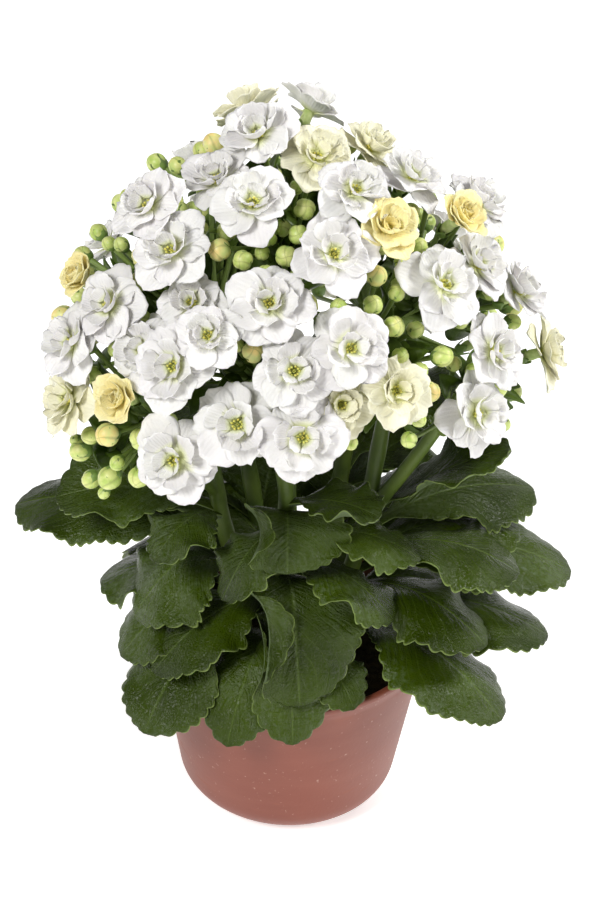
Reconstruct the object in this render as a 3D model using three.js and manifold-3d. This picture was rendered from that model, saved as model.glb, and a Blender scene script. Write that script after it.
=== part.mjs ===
// A double-flowered kalanchoe in a plain plastic pot, in millimetres, +Z up.
// The origin is the middle of the pot's foot, and -Y is the plant's best side.
// Six leafy shoots stand in holes in the peat. Each carries fleshy scalloped leaves and one or two
// heads of buds and double blooms, which together make one dome over the pot.
import * as THREE from "three";
import { mergeVertices } from "three/addons/utils/BufferGeometryUtils.js";
import Module from "manifold-3d";

const wasm = await Module();
wasm.setup();

// Driving dimensions
const POT_RIM_R = 52.5;
const POT_BASE_R = 42.5;
const POT_HEIGHT = 73;
const POT_WALL = 1.6;
const POT_CORNER_R = 14;
const POT_BEAD = 0.9;
const POT_SIDES = 24;
const DRAIN_HOLES = 5;
const DRAIN_R = 4;
const DRAIN_SIDES = 6;
const DRAIN_TURN = 0.45;
const DRAIN_PCD_R = 16;
const SOIL_TOP = 65;
const SOIL_SIDES = 12;
const CLEARANCE = 0.3;
const DOME_CENTRE = new THREE.Vector3(-6, 10, 190);
const DOME_RADII = new THREE.Vector3(88, 85, 96);
const ROOT_DEPTH = 16;
const STEM_R = 3.6;
const STEM_SIDES = 7;
const BRANCH_R = 2.5;
const KNUCKLE_R = 6;
const PEDICEL_R = 0.8;
const CALYX_R = 2.9;
const CALYX_DEPTH = 2.6;
const LEAF_THICKNESS = 2;
const LEAF_EDGE = 0.9;
const LEAF_STALK = 3;
const PETAL_THICKNESS = 0.8;
const BLOOM_DEPTH = 7;
const TUBE_R = 2.2;
const TUBE_DEPTH = 3;

// Colours
const FINISHES = {
  clay: { color: 0x9c5f4c, roughness: 0.55 },
  peat: { color: 0x1e1611, roughness: 0.95 },
  leaf: { color: 0x3a4f14, roughness: 0.35 },
  white: { color: 0xf4f2ec, roughness: 0.6 },
  cream: { color: 0xefe9c4, roughness: 0.6 },
  yellow: { color: 0xf0d878, roughness: 0.6 },
};

// Small helpers for points and closed solids

const UP = new THREE.Vector3(0, 0, 1);
const point = (x, y, z) => new THREE.Vector3(x, y, z);
const radians = THREE.MathUtils.degToRad;
// No stem, stalk or bloom points this way, so it gives each of them its first cross direction.
const SIDEWAYS = point(1, 0.3, 0);

// The unit vector at a bearing round the plant (0 is its best side, 90 its right) and a tilt from upright.
function aim(bearing, tilt) {
  const b = radians(bearing);
  const t = radians(tilt);
  return point(Math.sin(t) * Math.sin(b), -Math.sin(t) * Math.cos(b), Math.cos(t));
}

// A point on the dome of flowers, or so many millimetres outside it.
function onDome(bearing, tilt, lift = 0) {
  const way = aim(bearing, tilt);
  const radius = 1 / way.clone().divide(DOME_RADII).length();
  return DOME_CENTRE.clone().addScaledVector(way, radius + lift);
}

// Numbers between 0 and 1 that are the same at every run.
function seeded(seed) {
  let state = seed;
  return () => {
    state = (state * 16807) % 2147483647;
    return state / 2147483647;
  };
}

function solidFrom(vertProperties, triVerts) {
  const made = new wasm.Manifold(new wasm.Mesh({ numProp: 3, vertProperties, triVerts }));
  if (made.volume() > 0) return made;
  for (let i = 0; i < triVerts.length; i += 3) {
    [triVerts[i + 1], triVerts[i + 2]] = [triVerts[i + 2], triVerts[i + 1]];
  }
  return new wasm.Manifold(new wasm.Mesh({ numProp: 3, vertProperties, triVerts }));
}

// A closed skin over rings of equal count, with a point at each end. Where flip says so, a quad is split
// along its other diagonal, so that both faces of a thin blade are split alike. A neck is one more ring,
// with a corner for every few of the others, that comes last.
function loft(start, rings, end, flip = () => false, neck = []) {
  const sides = rings[0].length;
  const points = [start, ...rings.flat(), end, ...neck];
  const corner = (ring, k) => 1 + ring * sides + (k % sides);
  const last = 1 + rings.length * sides;
  const perCorner = sides / neck.length;
  const waist = (k) => (neck.length ? last + 1 + (Math.floor(k / perCorner) % neck.length) : last);
  const faces = [];
  for (let k = 0; k < sides; k++) {
    faces.push(0, corner(0, k + 1), corner(0, k));
    faces.push(waist(k), corner(rings.length - 1, k), corner(rings.length - 1, k + 1));
    for (let ring = 0; ring + 1 < rings.length; ring++) {
      const [a, b, c, d] = [corner(ring, k), corner(ring, k + 1), corner(ring + 1, k + 1), corner(ring + 1, k)];
      if (flip(ring, k)) faces.push(a, b, d, b, c, d);
      else faces.push(a, b, c, a, c, d);
    }
  }
  for (let k = perCorner - 1; k < sides && neck.length; k += perCorner) {
    faces.push(waist(k), corner(rings.length - 1, k + 1), waist(k + 1));
    faces.push(last, waist(k), waist(k + 1));
  }
  const flat = new Float32Array(points.flatMap((p) => [p.x, p.y, p.z]));
  return solidFrom(flat, new Uint32Array(faces));
}

// The solid of a three.js geometry that is closed.
function solidOf(geometry) {
  const bare = geometry.clone();
  bare.deleteAttribute("normal");
  bare.deleteAttribute("uv");
  const merged = mergeVertices(bare, 1e-4);
  return solidFrom(new Float32Array(merged.attributes.position.array), new Uint32Array(merged.index.array));
}

const union = (solids) => wasm.Manifold.union(solids);

// The largest body of a solid: scraps that a cut leaves loose are dropped.
function mainBody(solid) {
  const bodies = solid.decompose();
  return bodies.reduce((best, body) => (body.volume() > best.volume() ? body : best));
}

function meshOf(name, solid, finish) {
  const { vertProperties, triVerts } = solid.getMesh();
  const geometry = new THREE.BufferGeometry();
  geometry.setAttribute("position", new THREE.BufferAttribute(new Float32Array(vertProperties), 3));
  geometry.setIndex(new THREE.BufferAttribute(new Uint32Array(triVerts), 1));
  const material = new THREE.MeshStandardMaterial({ metalness: 0, ...FINISHES[finish] });
  const mesh = new THREE.Mesh(geometry, material);
  mesh.name = name;
  return mesh;
}

// A round rod through points, with its own radius at each.
function rod(points, radii, sides) {
  const rings = points.map((p, i) => {
    const before = points[Math.max(i - 1, 0)];
    const after = points[Math.min(i + 1, points.length - 1)];
    const along = after.clone().sub(before).normalize();
    const across = SIDEWAYS.clone().cross(along).normalize();
    const other = along.clone().cross(across);
    return Array.from({ length: sides }, (_, k) => {
      const angle = (2 * Math.PI * k) / sides;
      return p
        .clone()
        .addScaledVector(across, radii[i] * Math.cos(angle))
        .addScaledVector(other, radii[i] * Math.sin(angle));
    });
  });
  return loft(points[0], rings, points[points.length - 1]);
}

// Pot: thin injection-moulded plastic, conical, with a well rounded foot, a rim bead and drain holes

const CORNER = new THREE.Vector2(POT_BASE_R - POT_CORNER_R, POT_CORNER_R);
const WALL_SLOPE = 0.15;
const BEAD_DEPTH = 2.5;
const BEAD_ROUND = 0.3;

// The wall runs from the foot up its outside, round the bead, and down its inside.
function makePotWall() {
  const profile = new THREE.Path();
  profile.absarc(CORNER.x, CORNER.y, POT_CORNER_R, -Math.PI / 2, -WALL_SLOPE, false);
  profile.lineTo(POT_RIM_R - BEAD_ROUND, POT_HEIGHT - BEAD_DEPTH - 1);
  profile.lineTo(POT_RIM_R + POT_BEAD, POT_HEIGHT - BEAD_DEPTH);
  profile.lineTo(POT_RIM_R + POT_BEAD - BEAD_ROUND, POT_HEIGHT);
  profile.lineTo(POT_RIM_R - POT_WALL, POT_HEIGHT);
  profile.absarc(CORNER.x, CORNER.y, POT_CORNER_R - POT_WALL, -WALL_SLOPE, -Math.PI / 2, true);
  profile.closePath();
  const outline = profile.getPoints(2).filter((p, i, all) => i === 0 || p.distanceTo(all[i - 1]) > 1e-3);
  return solidOf(new THREE.LatheGeometry(outline, POT_SIDES).rotateX(Math.PI / 2));
}

// The foot is a flat plate in the wall's lower edge, with the drain holes through it.
function makePotFoot() {
  const corners = (x, y, radius, sides, turn = 0) =>
    Array.from({ length: sides }, (_, k) => {
      const angle = turn + (2 * Math.PI * k) / sides;
      return new THREE.Vector2(x + radius * Math.cos(angle), y + radius * Math.sin(angle));
    });
  const plate = new THREE.Shape(corners(0, 0, CORNER.x, POT_SIDES));
  plate.holes = corners(0, 0, DRAIN_PCD_R, DRAIN_HOLES, DRAIN_TURN).map(({ x, y }) => {
    return new THREE.Path(corners(x, y, DRAIN_R, DRAIN_SIDES));
  });
  return solidOf(new THREE.ExtrudeGeometry(plate, { depth: POT_WALL, bevelEnabled: false }));
}

// Soil: dark peat with an uneven top, which fills the pot to just under its rim

const SHOULDER = 2;
const SHOULDER_WIDTH = 12;
const UNEVEN = 3;

function makeSoil(holes) {
  const uneven = seeded(11);
  const ring = (radius, z, rough) =>
    Array.from({ length: SOIL_SIDES }, (_, k) => {
      const angle = (2 * Math.PI * k) / SOIL_SIDES;
      return point(radius * Math.cos(angle), radius * Math.sin(angle), z + rough * (uneven() - 0.5));
    });
  const round = POT_CORNER_R - POT_WALL - 2.5 * CLEARANCE;
  const low = CORNER.y;
  const bend = (angle) => ring(CORNER.x + round * Math.cos(angle), low - round * Math.sin(angle), 0);
  const shoulder = SOIL_TOP - SHOULDER;
  const top = POT_RIM_R - POT_WALL - 2 * CLEARANCE - (POT_HEIGHT - shoulder) * WALL_SLOPE;
  const rings = [
    bend(Math.PI / 2),
    bend(Math.PI / 4),
    bend(WALL_SLOPE),
    ring(top, shoulder, 0),
    ring(top - SHOULDER_WIDTH, SOIL_TOP, UNEVEN),
  ];
  return loft(point(0, 0, low - round), rings, point(0, 0, SOIL_TOP + 1)).subtract(union(holes));
}

// Shoots: each stem rises from the peat and ends in a knuckle, from which the stalks of a head of buds and
// blooms spread. Some stems fork on the way, and carry a second head.

const SHOOTS = [
  { name: "top", base: [-1, 4], way: [[-3, 7, 130], [-5, 6, 196]], hub: [-5, 1, 243] },
  { name: "front", base: [-3, -13], way: [[-4, -20, 120], [-4, -27, 160]], hub: [-15, -32, 207],
    second: [18, -28, 210] },
  { name: "left", base: [-18, -3], way: [[-21, -7, 100], [-29, -11, 142]], hub: [-38, -12, 216],
    second: [-49, -26, 185] },
  { name: "right", base: [19, -1], way: [[20, -6, 96], [26, -12, 134]], hub: [36, -2, 216],
    second: [52, -24, 187] },
  { name: "back_right", base: [12, 15], way: [[15, 20, 110], [20, 29, 155]], hub: [24, 38, 192] },
  { name: "back_left", base: [-12, 16], way: [[-15, 21, 110], [-24, 30, 155]], hub: [-32, 36, 188] },
];

// A stem stands upright in its hole, and curves above its collar.
const COLLAR = 5;
const HEAD_HEIGHT = 240;

function stemPoints({ base: [x, y], way, hub }) {
  const marks = [[x, y, SOIL_TOP + COLLAR], ...way, hub].map((mark) => point(...mark));
  const curve = new THREE.CatmullRomCurve3(marks);
  return [point(x, y, SOIL_TOP - ROOT_DEPTH), ...curve.getPoints(4)];
}

function stemRod(shoot, grow) {
  const points = stemPoints(shoot);
  const radii = points.map((p) => THREE.MathUtils.mapLinear(p.z, SOIL_TOP, HEAD_HEIGHT, STEM_R, BRANCH_R) + grow);
  return rod(points, radii, STEM_SIDES);
}

// The point of a stem at a height.
function stemAt(shoot, z) {
  const points = stemPoints(shoot);
  const i = points.findIndex((p) => p.z > z);
  const [low, high] = [points[i - 1], points[i]];
  return low.clone().lerp(high, (z - low.z) / (high.z - low.z));
}

// The branch to a second head leaves its stem at the last mark on the way, and sags before it rises.
const BRANCH_SAG = 7;
const BRANCH_SIDES = 5;

function branchRod({ way, second }, grow) {
  const fork = point(...way[1]);
  const end = point(...second);
  const bend = fork.clone().lerp(end, 0.5).addScaledVector(UP, -BRANCH_SAG);
  const points = new THREE.QuadraticBezierCurve3(fork, bend, end).getPoints(2);
  const radii = [STEM_R - 0.7, STEM_R - 1, BRANCH_R - 0.2].map((radius) => radius + grow);
  return rod(points, radii, BRANCH_SIDES);
}

const HUBS = SHOOTS.flatMap((shoot) =>
  [shoot.hub, shoot.second].filter(Boolean).map((hub) => ({ shoot, hub: point(...hub) })),
);

const knuckle = (hub, grow) => solidOf(new THREE.OctahedronGeometry(KNUCKLE_R + grow).translate(...hub));

// The nearest knuckle to a foot, with the point inside it where the foot's stalk starts.
const KNUCKLE_INSIDE = 2;

function seatOn(foot) {
  const { shoot, hub } = HUBS.reduce((a, b) => (b.hub.distanceTo(foot) < a.hub.distanceTo(foot) ? b : a));
  return { shoot, root: hub.clone().add(foot.clone().sub(hub).setLength(KNUCKLE_INSIDE)) };
}

// Leaves: fleshy obovate blades with scalloped margins, on short stalks in pairs up each stem.
// Each row is the height at which it grows, its tip, the arch of its midrib, its width,
// how far its margins turn up (or down, if negative), and its roll in degrees.
const LEAVES = {
  front: [
    [76, -22, -61, 62, 40, 30, -3, -6],
    [94, 2, -61, 64, 38, 28, -3, -4],
    [107, 4, -58, 80, 42, 50, -5, -4],
    [99, -50, -43, 81, 22, 35, -3, 4],
    [133, -25, -43, 116, 18, 26, -3, 8],
    [142, -2, -44, 130, 20, 42, 4, -4],
    [115, 37, -42, 108, 20, 33, -4, -16],
    [127, 46, -35, 131, 18, 26, 3, -10],
    [148, 30, -44, 156, 8, 24, 3, 0],
    [80, 40, -54, 72, 22, 30, -4, 0],
  ],
  left: [
    [74, -53, -53, 60, 34, 40, -4, 2],
    [85, -63, -28, 76, 28, 36, -4, 0],
    [103, -58, -24, 92, 32, 44, -5, 4],
    [112, -106, 16, 112, 26, 38, -4, -10],
    [130, -50, -40, 130, 18, 26, -3, 12],
    [134, -88, -14, 138, 14, 32, 4, -14],
    [93, -73, 6, 86, 18, 34, -4, 0],
  ],
  right: [
    [75, 79, -47, 67, 28, 44, -5, -12],
    [81, 97, -12, 80, 26, 40, -4, -6],
    [97, 72, -36, 93, 22, 36, -5, -8],
    [104, 105, 4, 99, 28, 38, -4, 8],
    [114, 83, -25, 119, 22, 42, -4, -10],
    [127, 90, 26, 121, 18, 34, -3, 10],
    [136, 77, -18, 170, 6, 28, 4, 0],
  ],
  top: [
    [158, -36, -2, 168, 10, 28, 3, 0],
    [170, -36, 18, 184, 8, 30, 3, 0],
    [176, 26, 26, 186, 8, 30, 3, 0],
  ],
  back_right: [
    [82, 66, 58, 62, 34, 42, -5, 0],
    [93, 10, 90, 78, 34, 42, -5, 6],
    [107, 84, 46, 104, 26, 38, -4, 0],
    [127, 50, 72, 126, 22, 38, -4, 0],
    [144, 66, 40, 156, 14, 32, 3, 0],
  ],
  back_left: [
    [82, -62, 60, 62, 34, 42, -5, 0],
    [93, -36, 82, 76, 34, 42, -5, 0],
    [107, -86, 48, 102, 26, 38, -4, 0],
    [127, -50, 74, 126, 22, 38, -4, 0],
    [144, -66, 44, 154, 14, 34, 3, 0],
    [138, 2, 78, 146, 16, 34, -3, 0],
  ],
};
// Shares of a leaf's length where its outline turns: every other one on the blade is a notch.
const FULL_OUTLINE = [0, 0.15, 0.25, 0.34, 0.43, 0.52, 0.61, 0.7, 0.79, 0.88, 0.96];
const PLAIN_OUTLINE = [0, 0.15, 0.32, 0.45, 0.58, 0.71, 0.84, 0.95];
const BROAD = 35;
const NOTCH_SHARE = 0.87;
const WAVE = 2.2;
const WAVE_TURNS = 9;
const WAVE_LEFT = 0;
const WAVE_RIGHT = 2;
const STALK_SHARE = 0.12;
const STALK_HALF = 2.2;
const SHOULDER_BIAS = 1.15;
const FULLNESS = 0.6;

// Half the width of a blade at a share of its length: a narrow stalk, then a broad obovate blade.
function leafHalfWidth(share, width) {
  const blade = Math.max((share - STALK_SHARE) / (1 - STALK_SHARE), 0);
  return Math.max(STALK_HALF, (width / 2) * Math.sin(Math.PI * blade ** SHOULDER_BIAS) ** FULLNESS);
}

function leafSolid(shoot, row, grow) {
  const [at, x, y, z, arch, width, cup, roll] = row;
  const foot = stemAt(shoot, at);
  const tip = point(x, y, z);
  const bend = foot.clone().lerp(tip, 0.5).addScaledVector(UP, arch);
  const rib = new THREE.QuadraticBezierCurve3(foot, bend, tip);
  const side = tip.clone().sub(foot).cross(UP).normalize();
  const outline = width < BROAD ? PLAIN_OUTLINE : FULL_OUTLINE;
  const rings = outline.map((share, i) => {
    const along = rib.getTangent(share);
    const across = side.clone().applyAxisAngle(along, radians(roll));
    const upper = across.clone().cross(along).normalize();
    const half = leafHalfWidth(share, width) * (i > 1 && i % 2 ? NOTCH_SHARE : 1) + grow;
    const spread = half / (width / 2);
    const turnUp = (phase) => spread ** 2 * (cup + WAVE * Math.sin(WAVE_TURNS * share + phase + x));
    const [left, right] = [turnUp(WAVE_LEFT), turnUp(WAVE_RIGHT)];
    const middle = rib.getPoint(share);
    const thick = (i < 2 ? LEAF_STALK : LEAF_THICKNESS) / 2 + grow;
    const edge = LEAF_EDGE / 2 + grow;
    const place = (s, n) => middle.clone().addScaledVector(across, s).addScaledVector(upper, n);
    return [
      place(-half, left + edge), place(0, thick), place(half, right + edge),
      place(half, right - edge), place(0, -thick), place(-half, left - edge),
    ];
  });
  const end = tip.clone().addScaledVector(rib.getTangent(1), grow);
  return loft(foot.clone(), rings, end, (_, k) => k >= 3);
}

// Buds: round and ribbed, in tight clusters, each in a small calyx on its own stalk.
// Each row is a bearing and a tilt on the dome in degrees, and the bud's diameter.
const BUDS = [
  [-54, 94, 6.5], [-47, 90, 8.5], [-36, 86, 8], [-61, 103, 8],
  [-60, 112, 7], [-48, 104, 8.5], [-37, 98, 7.5],
  [-26, 36, 8], [-16, 37, 7], [-8, 31, 6.5], [0, 35, 7.5], [-1, 41, 6.5],
  [9, 24, 7.5], [5, 30, 7],
  [7, 46, 8], [32, 42, 7.5], [28, 48, 7], [37, 47, 6],
  [33, 54, 7.5], [25, 58, 7], [38, 66, 6], [46, 65, 7.5], [40, 72, 7.5],
  [53, 40, 7],
  [66, 83, 7.5], [82, 94, 7.5], [56, 73, 6], [94, 76, 8.5], [86, 76, 6],
  [101, 62, 8], [-84, 17, 8], [-53, 45, 8], [-76, 73, 8.5], [-8, 57, 8], [-48, 77, 7],
  [-2, 51, 6],
  [118, 54, 7], [112, 62, 8], [150, 66, 7], [156, 76, 8],
  [-118, 56, 7], [-125, 64, 8], [-150, 66, 8], [-146, 76, 7],
  [182, 48, 7], [188, 56, 8],
];
const BUD_SINK = -4;
const REAR_BUD_SINK = -20;
const REAR_BEARING = 110;
const BUD_SIDES = 4;
// Rings of a bud, and its tip: places along it and widths, both in shares of its radius
const BUD_BASE = [-1.1, 0.6];
const BUD_WAIST = [0.2, 1.05];
const BUD_TIP = 1.2;

function ringAbout(centre, way, radius, sides) {
  const across = SIDEWAYS.clone().cross(way).normalize();
  const other = way.clone().cross(across);
  return Array.from({ length: sides }, (_, k) => {
    const angle = (2 * Math.PI * k) / sides;
    return centre
      .clone()
      .addScaledVector(across, radius * Math.cos(angle))
      .addScaledVector(other, radius * Math.sin(angle));
  });
}

const buds = BUDS.map(([bearing, tilt, size]) => {
  const centre = onDome(bearing, tilt, Math.abs(bearing) > REAR_BEARING ? REAR_BUD_SINK : BUD_SINK);
  return { centre, size, ...seatOn(centre) };
});

// A bud with its stalk in one skin, from the knuckle outwards.
function budSolid({ centre, size, root }, grow) {
  const r = size / 2;
  const way = centre.clone().sub(root).normalize();
  const ring = ([along, width]) =>
    ringAbout(centre.clone().addScaledVector(way, along * r), way, width * r + grow, BUD_SIDES);
  const rings = [ringAbout(root, way, PEDICEL_R + grow, BUD_SIDES), ring(BUD_BASE), ring(BUD_WAIST)];
  return loft(root, rings, centre.clone().addScaledVector(way, BUD_TIP * r + grow));
}

// Blooms: a lower and an upper whorl of four broad petals, turned by half a petal from each other.
// Each row is a bearing and a tilt on the dome, a diameter, a colour, how open the bloom is, how far it
// stands out of the dome and, where it looks another way than the rest, its own bearing and tilt.
const BLOOMS = [
  [36, 35, 23, "yellow", 0.5, 2],
  [70, 41, 20, "yellow", 0.35, 2],
  [-40, 76, 20, "yellow", 0.35, 0],
  [-66, 58, 17, "yellow", 0.2, 0],
  [-24, 86, 31, "white", 1, 2],
  [-10, 74, 30, "white", 1, 0],
  [5, 76, 30, "white", 1, 5],
  [50, 81, 30, "white", 1, 2],
  [-26, 64, 30, "white", 0.95, 5],
  [3, 61, 28, "white", 0.95, 2],
  [17, 57, 29, "white", 0.95, 4],
  [28, 68, 27, "cream", 0.85, 1],
  [15, 69, 25, "cream", 0.75, -4],
  [-4, 47, 29, "white", 0.85, 3],
  [15, 38, 29, "white", 0.9, 8],
  [29, 26, 27, "white", 0.9, 9],
  [49, 50, 30, "white", 1, 3],
  [-58, 85, 28, "cream", 0.85, 0],
  [-38, 63, 29, "white", 1, -4],
  [-18, 56, 24, "white", 0.9, 9],
  [60, 70, 29, "white", 0.9, 1],
  [-16, 26, 30, "white", 0.9, 2],
  [-39, 41, 29, "white", 0.9, 2],
  [-59, 71, 28, "white", 0.9, 2],
  [70, 52, 28, "white", 0.8, -2],
  [-52, 58, 28, "white", 0.9, 0],
  [-55, 36, 28, "white", 0.8, 5],
  [-45, 22, 27, "white", 0.75, -3],
  [-38, 10, 29, "white", 0.8, 3],
  [71, 28, 28, "white", 0.85, 0],
  [25, 13, 27, "cream", 0.8, -1],
  [88, 18, 27, "cream", 0.8, -5],
  [-130, 12, 27, "cream", 0.7, -2, -150, 50],
  [160, 14, 26, "white", 0.7, -4, 150, 52],
  [92, 46, 28, "white", 0.8, 0, 90, 35],
  [-29, 49, 24, "white", 0.8, -5],
  [86, 86, 28, "cream", 0.8, 6],
  [84, 67, 28, "white", 0.75, 0, 90, 50],
  [137, 45, 29, "white", 0.9, -16],
  [-140, 43, 29, "white", 0.95, -16],
  [125, 66, 28, "white", 0.85, -14],
  [164, 66, 31, "white", 0.85, -14],
  [-158, 70, 30, "white", 0.85, -13],
  [-113, 67, 28, "white", 0.9, -14],
  [112, 95, 28, "white", 0.95, -10],
  [143, 97, 31, "white", 1, -10],
  [170, 97, 30, "cream", 0.85, -10],
  [-159, 96, 29, "white", 0.85, -10],
  [-126, 94, 29, "white", 0.95, -10],
  [-96, 96, 29, "white", 0.85, -10],
];
const TURN_STEP = 37;
const WHORL_PETALS = 4;
// How far the lower whorl reaches and rises, in shares of the bloom's size, when it is shut and when open
const REACH_SHUT = 0.375;
const REACH_OPEN = 0.5;
const RISE_SHUT = 0.4;
const DROOP = 0.5;
// The upper whorl's share of that reach, and its height over the lower one
const UPPER_SHUT = 0.3;
const UPPER_OPEN = 0.64;
const UPPER_LIFT_SHUT = 3.4;
const UPPER_LIFT_OPEN = 2.6;
const THROAT_SHARE = 0.5;
const EYE_RISE = 0.5;
const NOTCH = 0.6;
// The outline of one petal of each whorl: bearings from the petal's edge, and shares of the radius
const LOWER_PETAL = [[0, NOTCH], [17, 0.93], [45, 1.04], [73, 0.93]];
const UPPER_PETAL = [[0, 1.04], [28, 0.93], [45, NOTCH], [62, 0.93]];
const THROAT = [[0, 1], [22, 1], [45, 1], [68, 1]];

// Each bloom has an eye, the way it looks, and a foot, where its tube sits on the calyx.
const blooms = BLOOMS.map(([bearing, tilt, size, colour, open, lift, lookBearing, lookTilt], i) => {
  const look = aim(lookBearing ?? bearing, lookTilt ?? 15 + 0.6 * tilt);
  const eye = onDome(bearing, tilt).addScaledVector(look, lift);
  const foot = eye.clone().addScaledVector(look, -BLOOM_DEPTH);
  return { eye, look, foot, size, colour, open, turn: TURN_STEP * i, ...seatOn(foot) };
});

function bloomSolid({ eye, look, foot, size, open, turn }) {
  const across = SIDEWAYS.clone().cross(look).normalize();
  const other = look.clone().cross(across);
  const ring = (radius, height, outline) =>
    Array.from({ length: WHORL_PETALS }, (_, petal) =>
      outline.map(([bearing, share]) => {
        const angle = radians(turn + bearing + (360 / WHORL_PETALS) * petal);
        return eye
          .clone()
          .addScaledVector(across, radius * share * Math.cos(angle))
          .addScaledVector(other, radius * share * Math.sin(angle))
          .addScaledVector(look, height * share);
      }),
    ).flat();
  const { lerp } = THREE.MathUtils;
  const lower = size * lerp(REACH_SHUT, REACH_OPEN, open);
  const lowerRise = size * lerp(RISE_SHUT, 0, open) - DROOP;
  const upper = lower * lerp(UPPER_SHUT, UPPER_OPEN, open);
  const upperRise = lowerRise + lerp(UPPER_LIFT_SHUT, UPPER_LIFT_OPEN, open);
  const rings = [
    ring(upper, upperRise, UPPER_PETAL),
    ring(upper * THROAT_SHARE, -DROOP, THROAT),
    ring(lower, lowerRise, LOWER_PETAL),
    ring(lower, lowerRise - PETAL_THICKNESS, LOWER_PETAL),
  ];
  const tube = ring(TUBE_R, -TUBE_DEPTH, [[45, 1]]);
  return loft(eye.clone().addScaledVector(look, EYE_RISE), rings, foot, () => false, tube);
}

// A bloom's green calyx and stalk, from its knuckle to its foot.
const STALK_SIDES = 3;
const STALK_FLARE = 0.3;

function stalkSolid({ look, foot, root }, grow) {
  const top = foot.clone().addScaledVector(look, grow - CLEARANCE);
  const seat = top.clone().addScaledVector(look, -CALYX_DEPTH);
  const rings = [
    ringAbout(root, seat.clone().sub(root).normalize(), PEDICEL_R + grow, STALK_SIDES),
    ringAbout(seat, look, PEDICEL_R + STALK_FLARE + grow, STALK_SIDES),
    ringAbout(top, look, CALYX_R + grow, STALK_SIDES),
  ];
  return loft(root, rings, top);
}

// The stem, branch, knuckles, buds and flower stalks of a shoot, in one list of solids.
function woodOf(shoot, grow) {
  return [
    stemRod(shoot, grow),
    ...(shoot.second ? [branchRod(shoot, grow)] : []),
    ...HUBS.filter((hub) => hub.shoot === shoot).map(({ hub }) => knuckle(hub, grow)),
    ...buds.filter((bud) => bud.shoot === shoot).map((bud) => budSolid(bud, grow)),
    ...blooms.filter((bloom) => bloom.shoot === shoot).map((bloom) => stalkSolid(bloom, grow)),
  ];
}

function leavesOf(shoot, grow) {
  return LEAVES[shoot.name].map((row) => leafSolid(shoot, row, grow));
}

// Assembly: where a leaf would meet another shoot, it stops short of it

const grown = SHOOTS.map((shoot) => ({
  wood: union(woodOf(shoot, CLEARANCE)),
  leaves: union(leavesOf(shoot, CLEARANCE)),
}));
const shoots = SHOOTS.map((shoot, i) => {
  let leaves = union(leavesOf(shoot, 0));
  grown.forEach((other, j) => {
    if (j !== i) leaves = leaves.subtract(other.wood);
    if (j < i) leaves = leaves.subtract(other.leaves);
  });
  return mainBody(union([...woodOf(shoot, 0), leaves]));
});
const everyShoot = union(grown.flatMap(({ wood, leaves }) => [wood, leaves]));
const holes = SHOOTS.map(({ base: [x, y] }) => {
  const foot = point(x, y, SOIL_TOP - ROOT_DEPTH - CLEARANCE);
  const radius = STEM_R + CLEARANCE;
  return rod([foot, foot.clone().setZ(SOIL_TOP + COLLAR)], [radius, radius], STEM_SIDES);
});

const plant = new THREE.Group();
plant.name = "potted_kalanchoe";
plant.add(meshOf("pot", union([makePotWall(), makePotFoot()]), "clay"));
plant.add(meshOf("soil", makeSoil(holes), "peat"));
SHOOTS.forEach((shoot, i) => plant.add(meshOf(`shoot_${shoot.name}`, shoots[i], "leaf")));
blooms.forEach((bloom, i) => {
  const name = `bloom_${String(i + 1).padStart(2, "0")}`;
  plant.add(meshOf(name, mainBody(bloomSolid(bloom).subtract(everyShoot)), bloom.colour));
});

export default plant;
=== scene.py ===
# A double-flowered kalanchoe in a plain plastic pot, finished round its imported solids, in metres, +Z up.
# Sizes are named in millimetres, and MM turns them into metres where a mesh is made.
import math
import random

import bmesh
import bpy
import numpy as np
from mathutils import Matrix, Vector


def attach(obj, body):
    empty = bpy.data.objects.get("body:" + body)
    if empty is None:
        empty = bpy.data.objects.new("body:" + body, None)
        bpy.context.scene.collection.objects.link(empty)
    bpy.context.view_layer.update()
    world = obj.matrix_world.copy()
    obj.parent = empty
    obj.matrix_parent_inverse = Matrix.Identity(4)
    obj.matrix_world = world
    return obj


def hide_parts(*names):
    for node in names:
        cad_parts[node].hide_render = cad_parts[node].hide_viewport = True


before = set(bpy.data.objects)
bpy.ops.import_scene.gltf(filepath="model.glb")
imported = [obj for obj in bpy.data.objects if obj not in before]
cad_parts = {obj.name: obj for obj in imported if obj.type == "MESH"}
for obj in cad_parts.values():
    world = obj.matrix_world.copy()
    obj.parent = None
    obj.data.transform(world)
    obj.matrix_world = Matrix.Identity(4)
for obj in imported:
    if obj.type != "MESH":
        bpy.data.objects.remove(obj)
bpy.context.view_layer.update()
MM = 0.001
FULL_TURN = 2 * math.pi

# Pot: a thin shell of injection-moulded terracotta-coloured plastic. It is conical, with a well rounded
# foot, a narrow bead round its rim and five drain holes, and the mould leaves a faint ring round its wall.
POT_RIM_R = 52.5
POT_BASE_R = 42.5
POT_HEIGHT = 73.0
POT_WALL = 1.6
POT_CORNER_R = 14.0
POT_CORNER = (POT_BASE_R - POT_CORNER_R, POT_CORNER_R)
POT_BEAD = 0.9
POT_STEPS = 144
WALL_SLOPE = 0.15
MOULD_RING_DROP = 9.0
MOULD_RING = 0.22
DRAIN_HOLES = 5
DRAIN_R = 4.0
DRAIN_TURN = 0.45
DRAIN_PCD_R = 16.0
CLAY = (0.240, 0.060, 0.033, 1)
CLAY_PALE = (0.300, 0.094, 0.058, 1)
CLAY_DARK = (0.198, 0.048, 0.026, 1)
CLAY_CHIP = (0.62, 0.42, 0.33, 1)
CLAY_GRAIN_MM = 0.05


def arc(centre, radius, start, end, steps):
    """Points on an arc of a profile, as pairs of radius and height."""
    return [
        (centre[0] + radius * math.cos(a), centre[1] + radius * math.sin(a))
        for a in np.linspace(start, end, steps)
    ]


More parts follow.
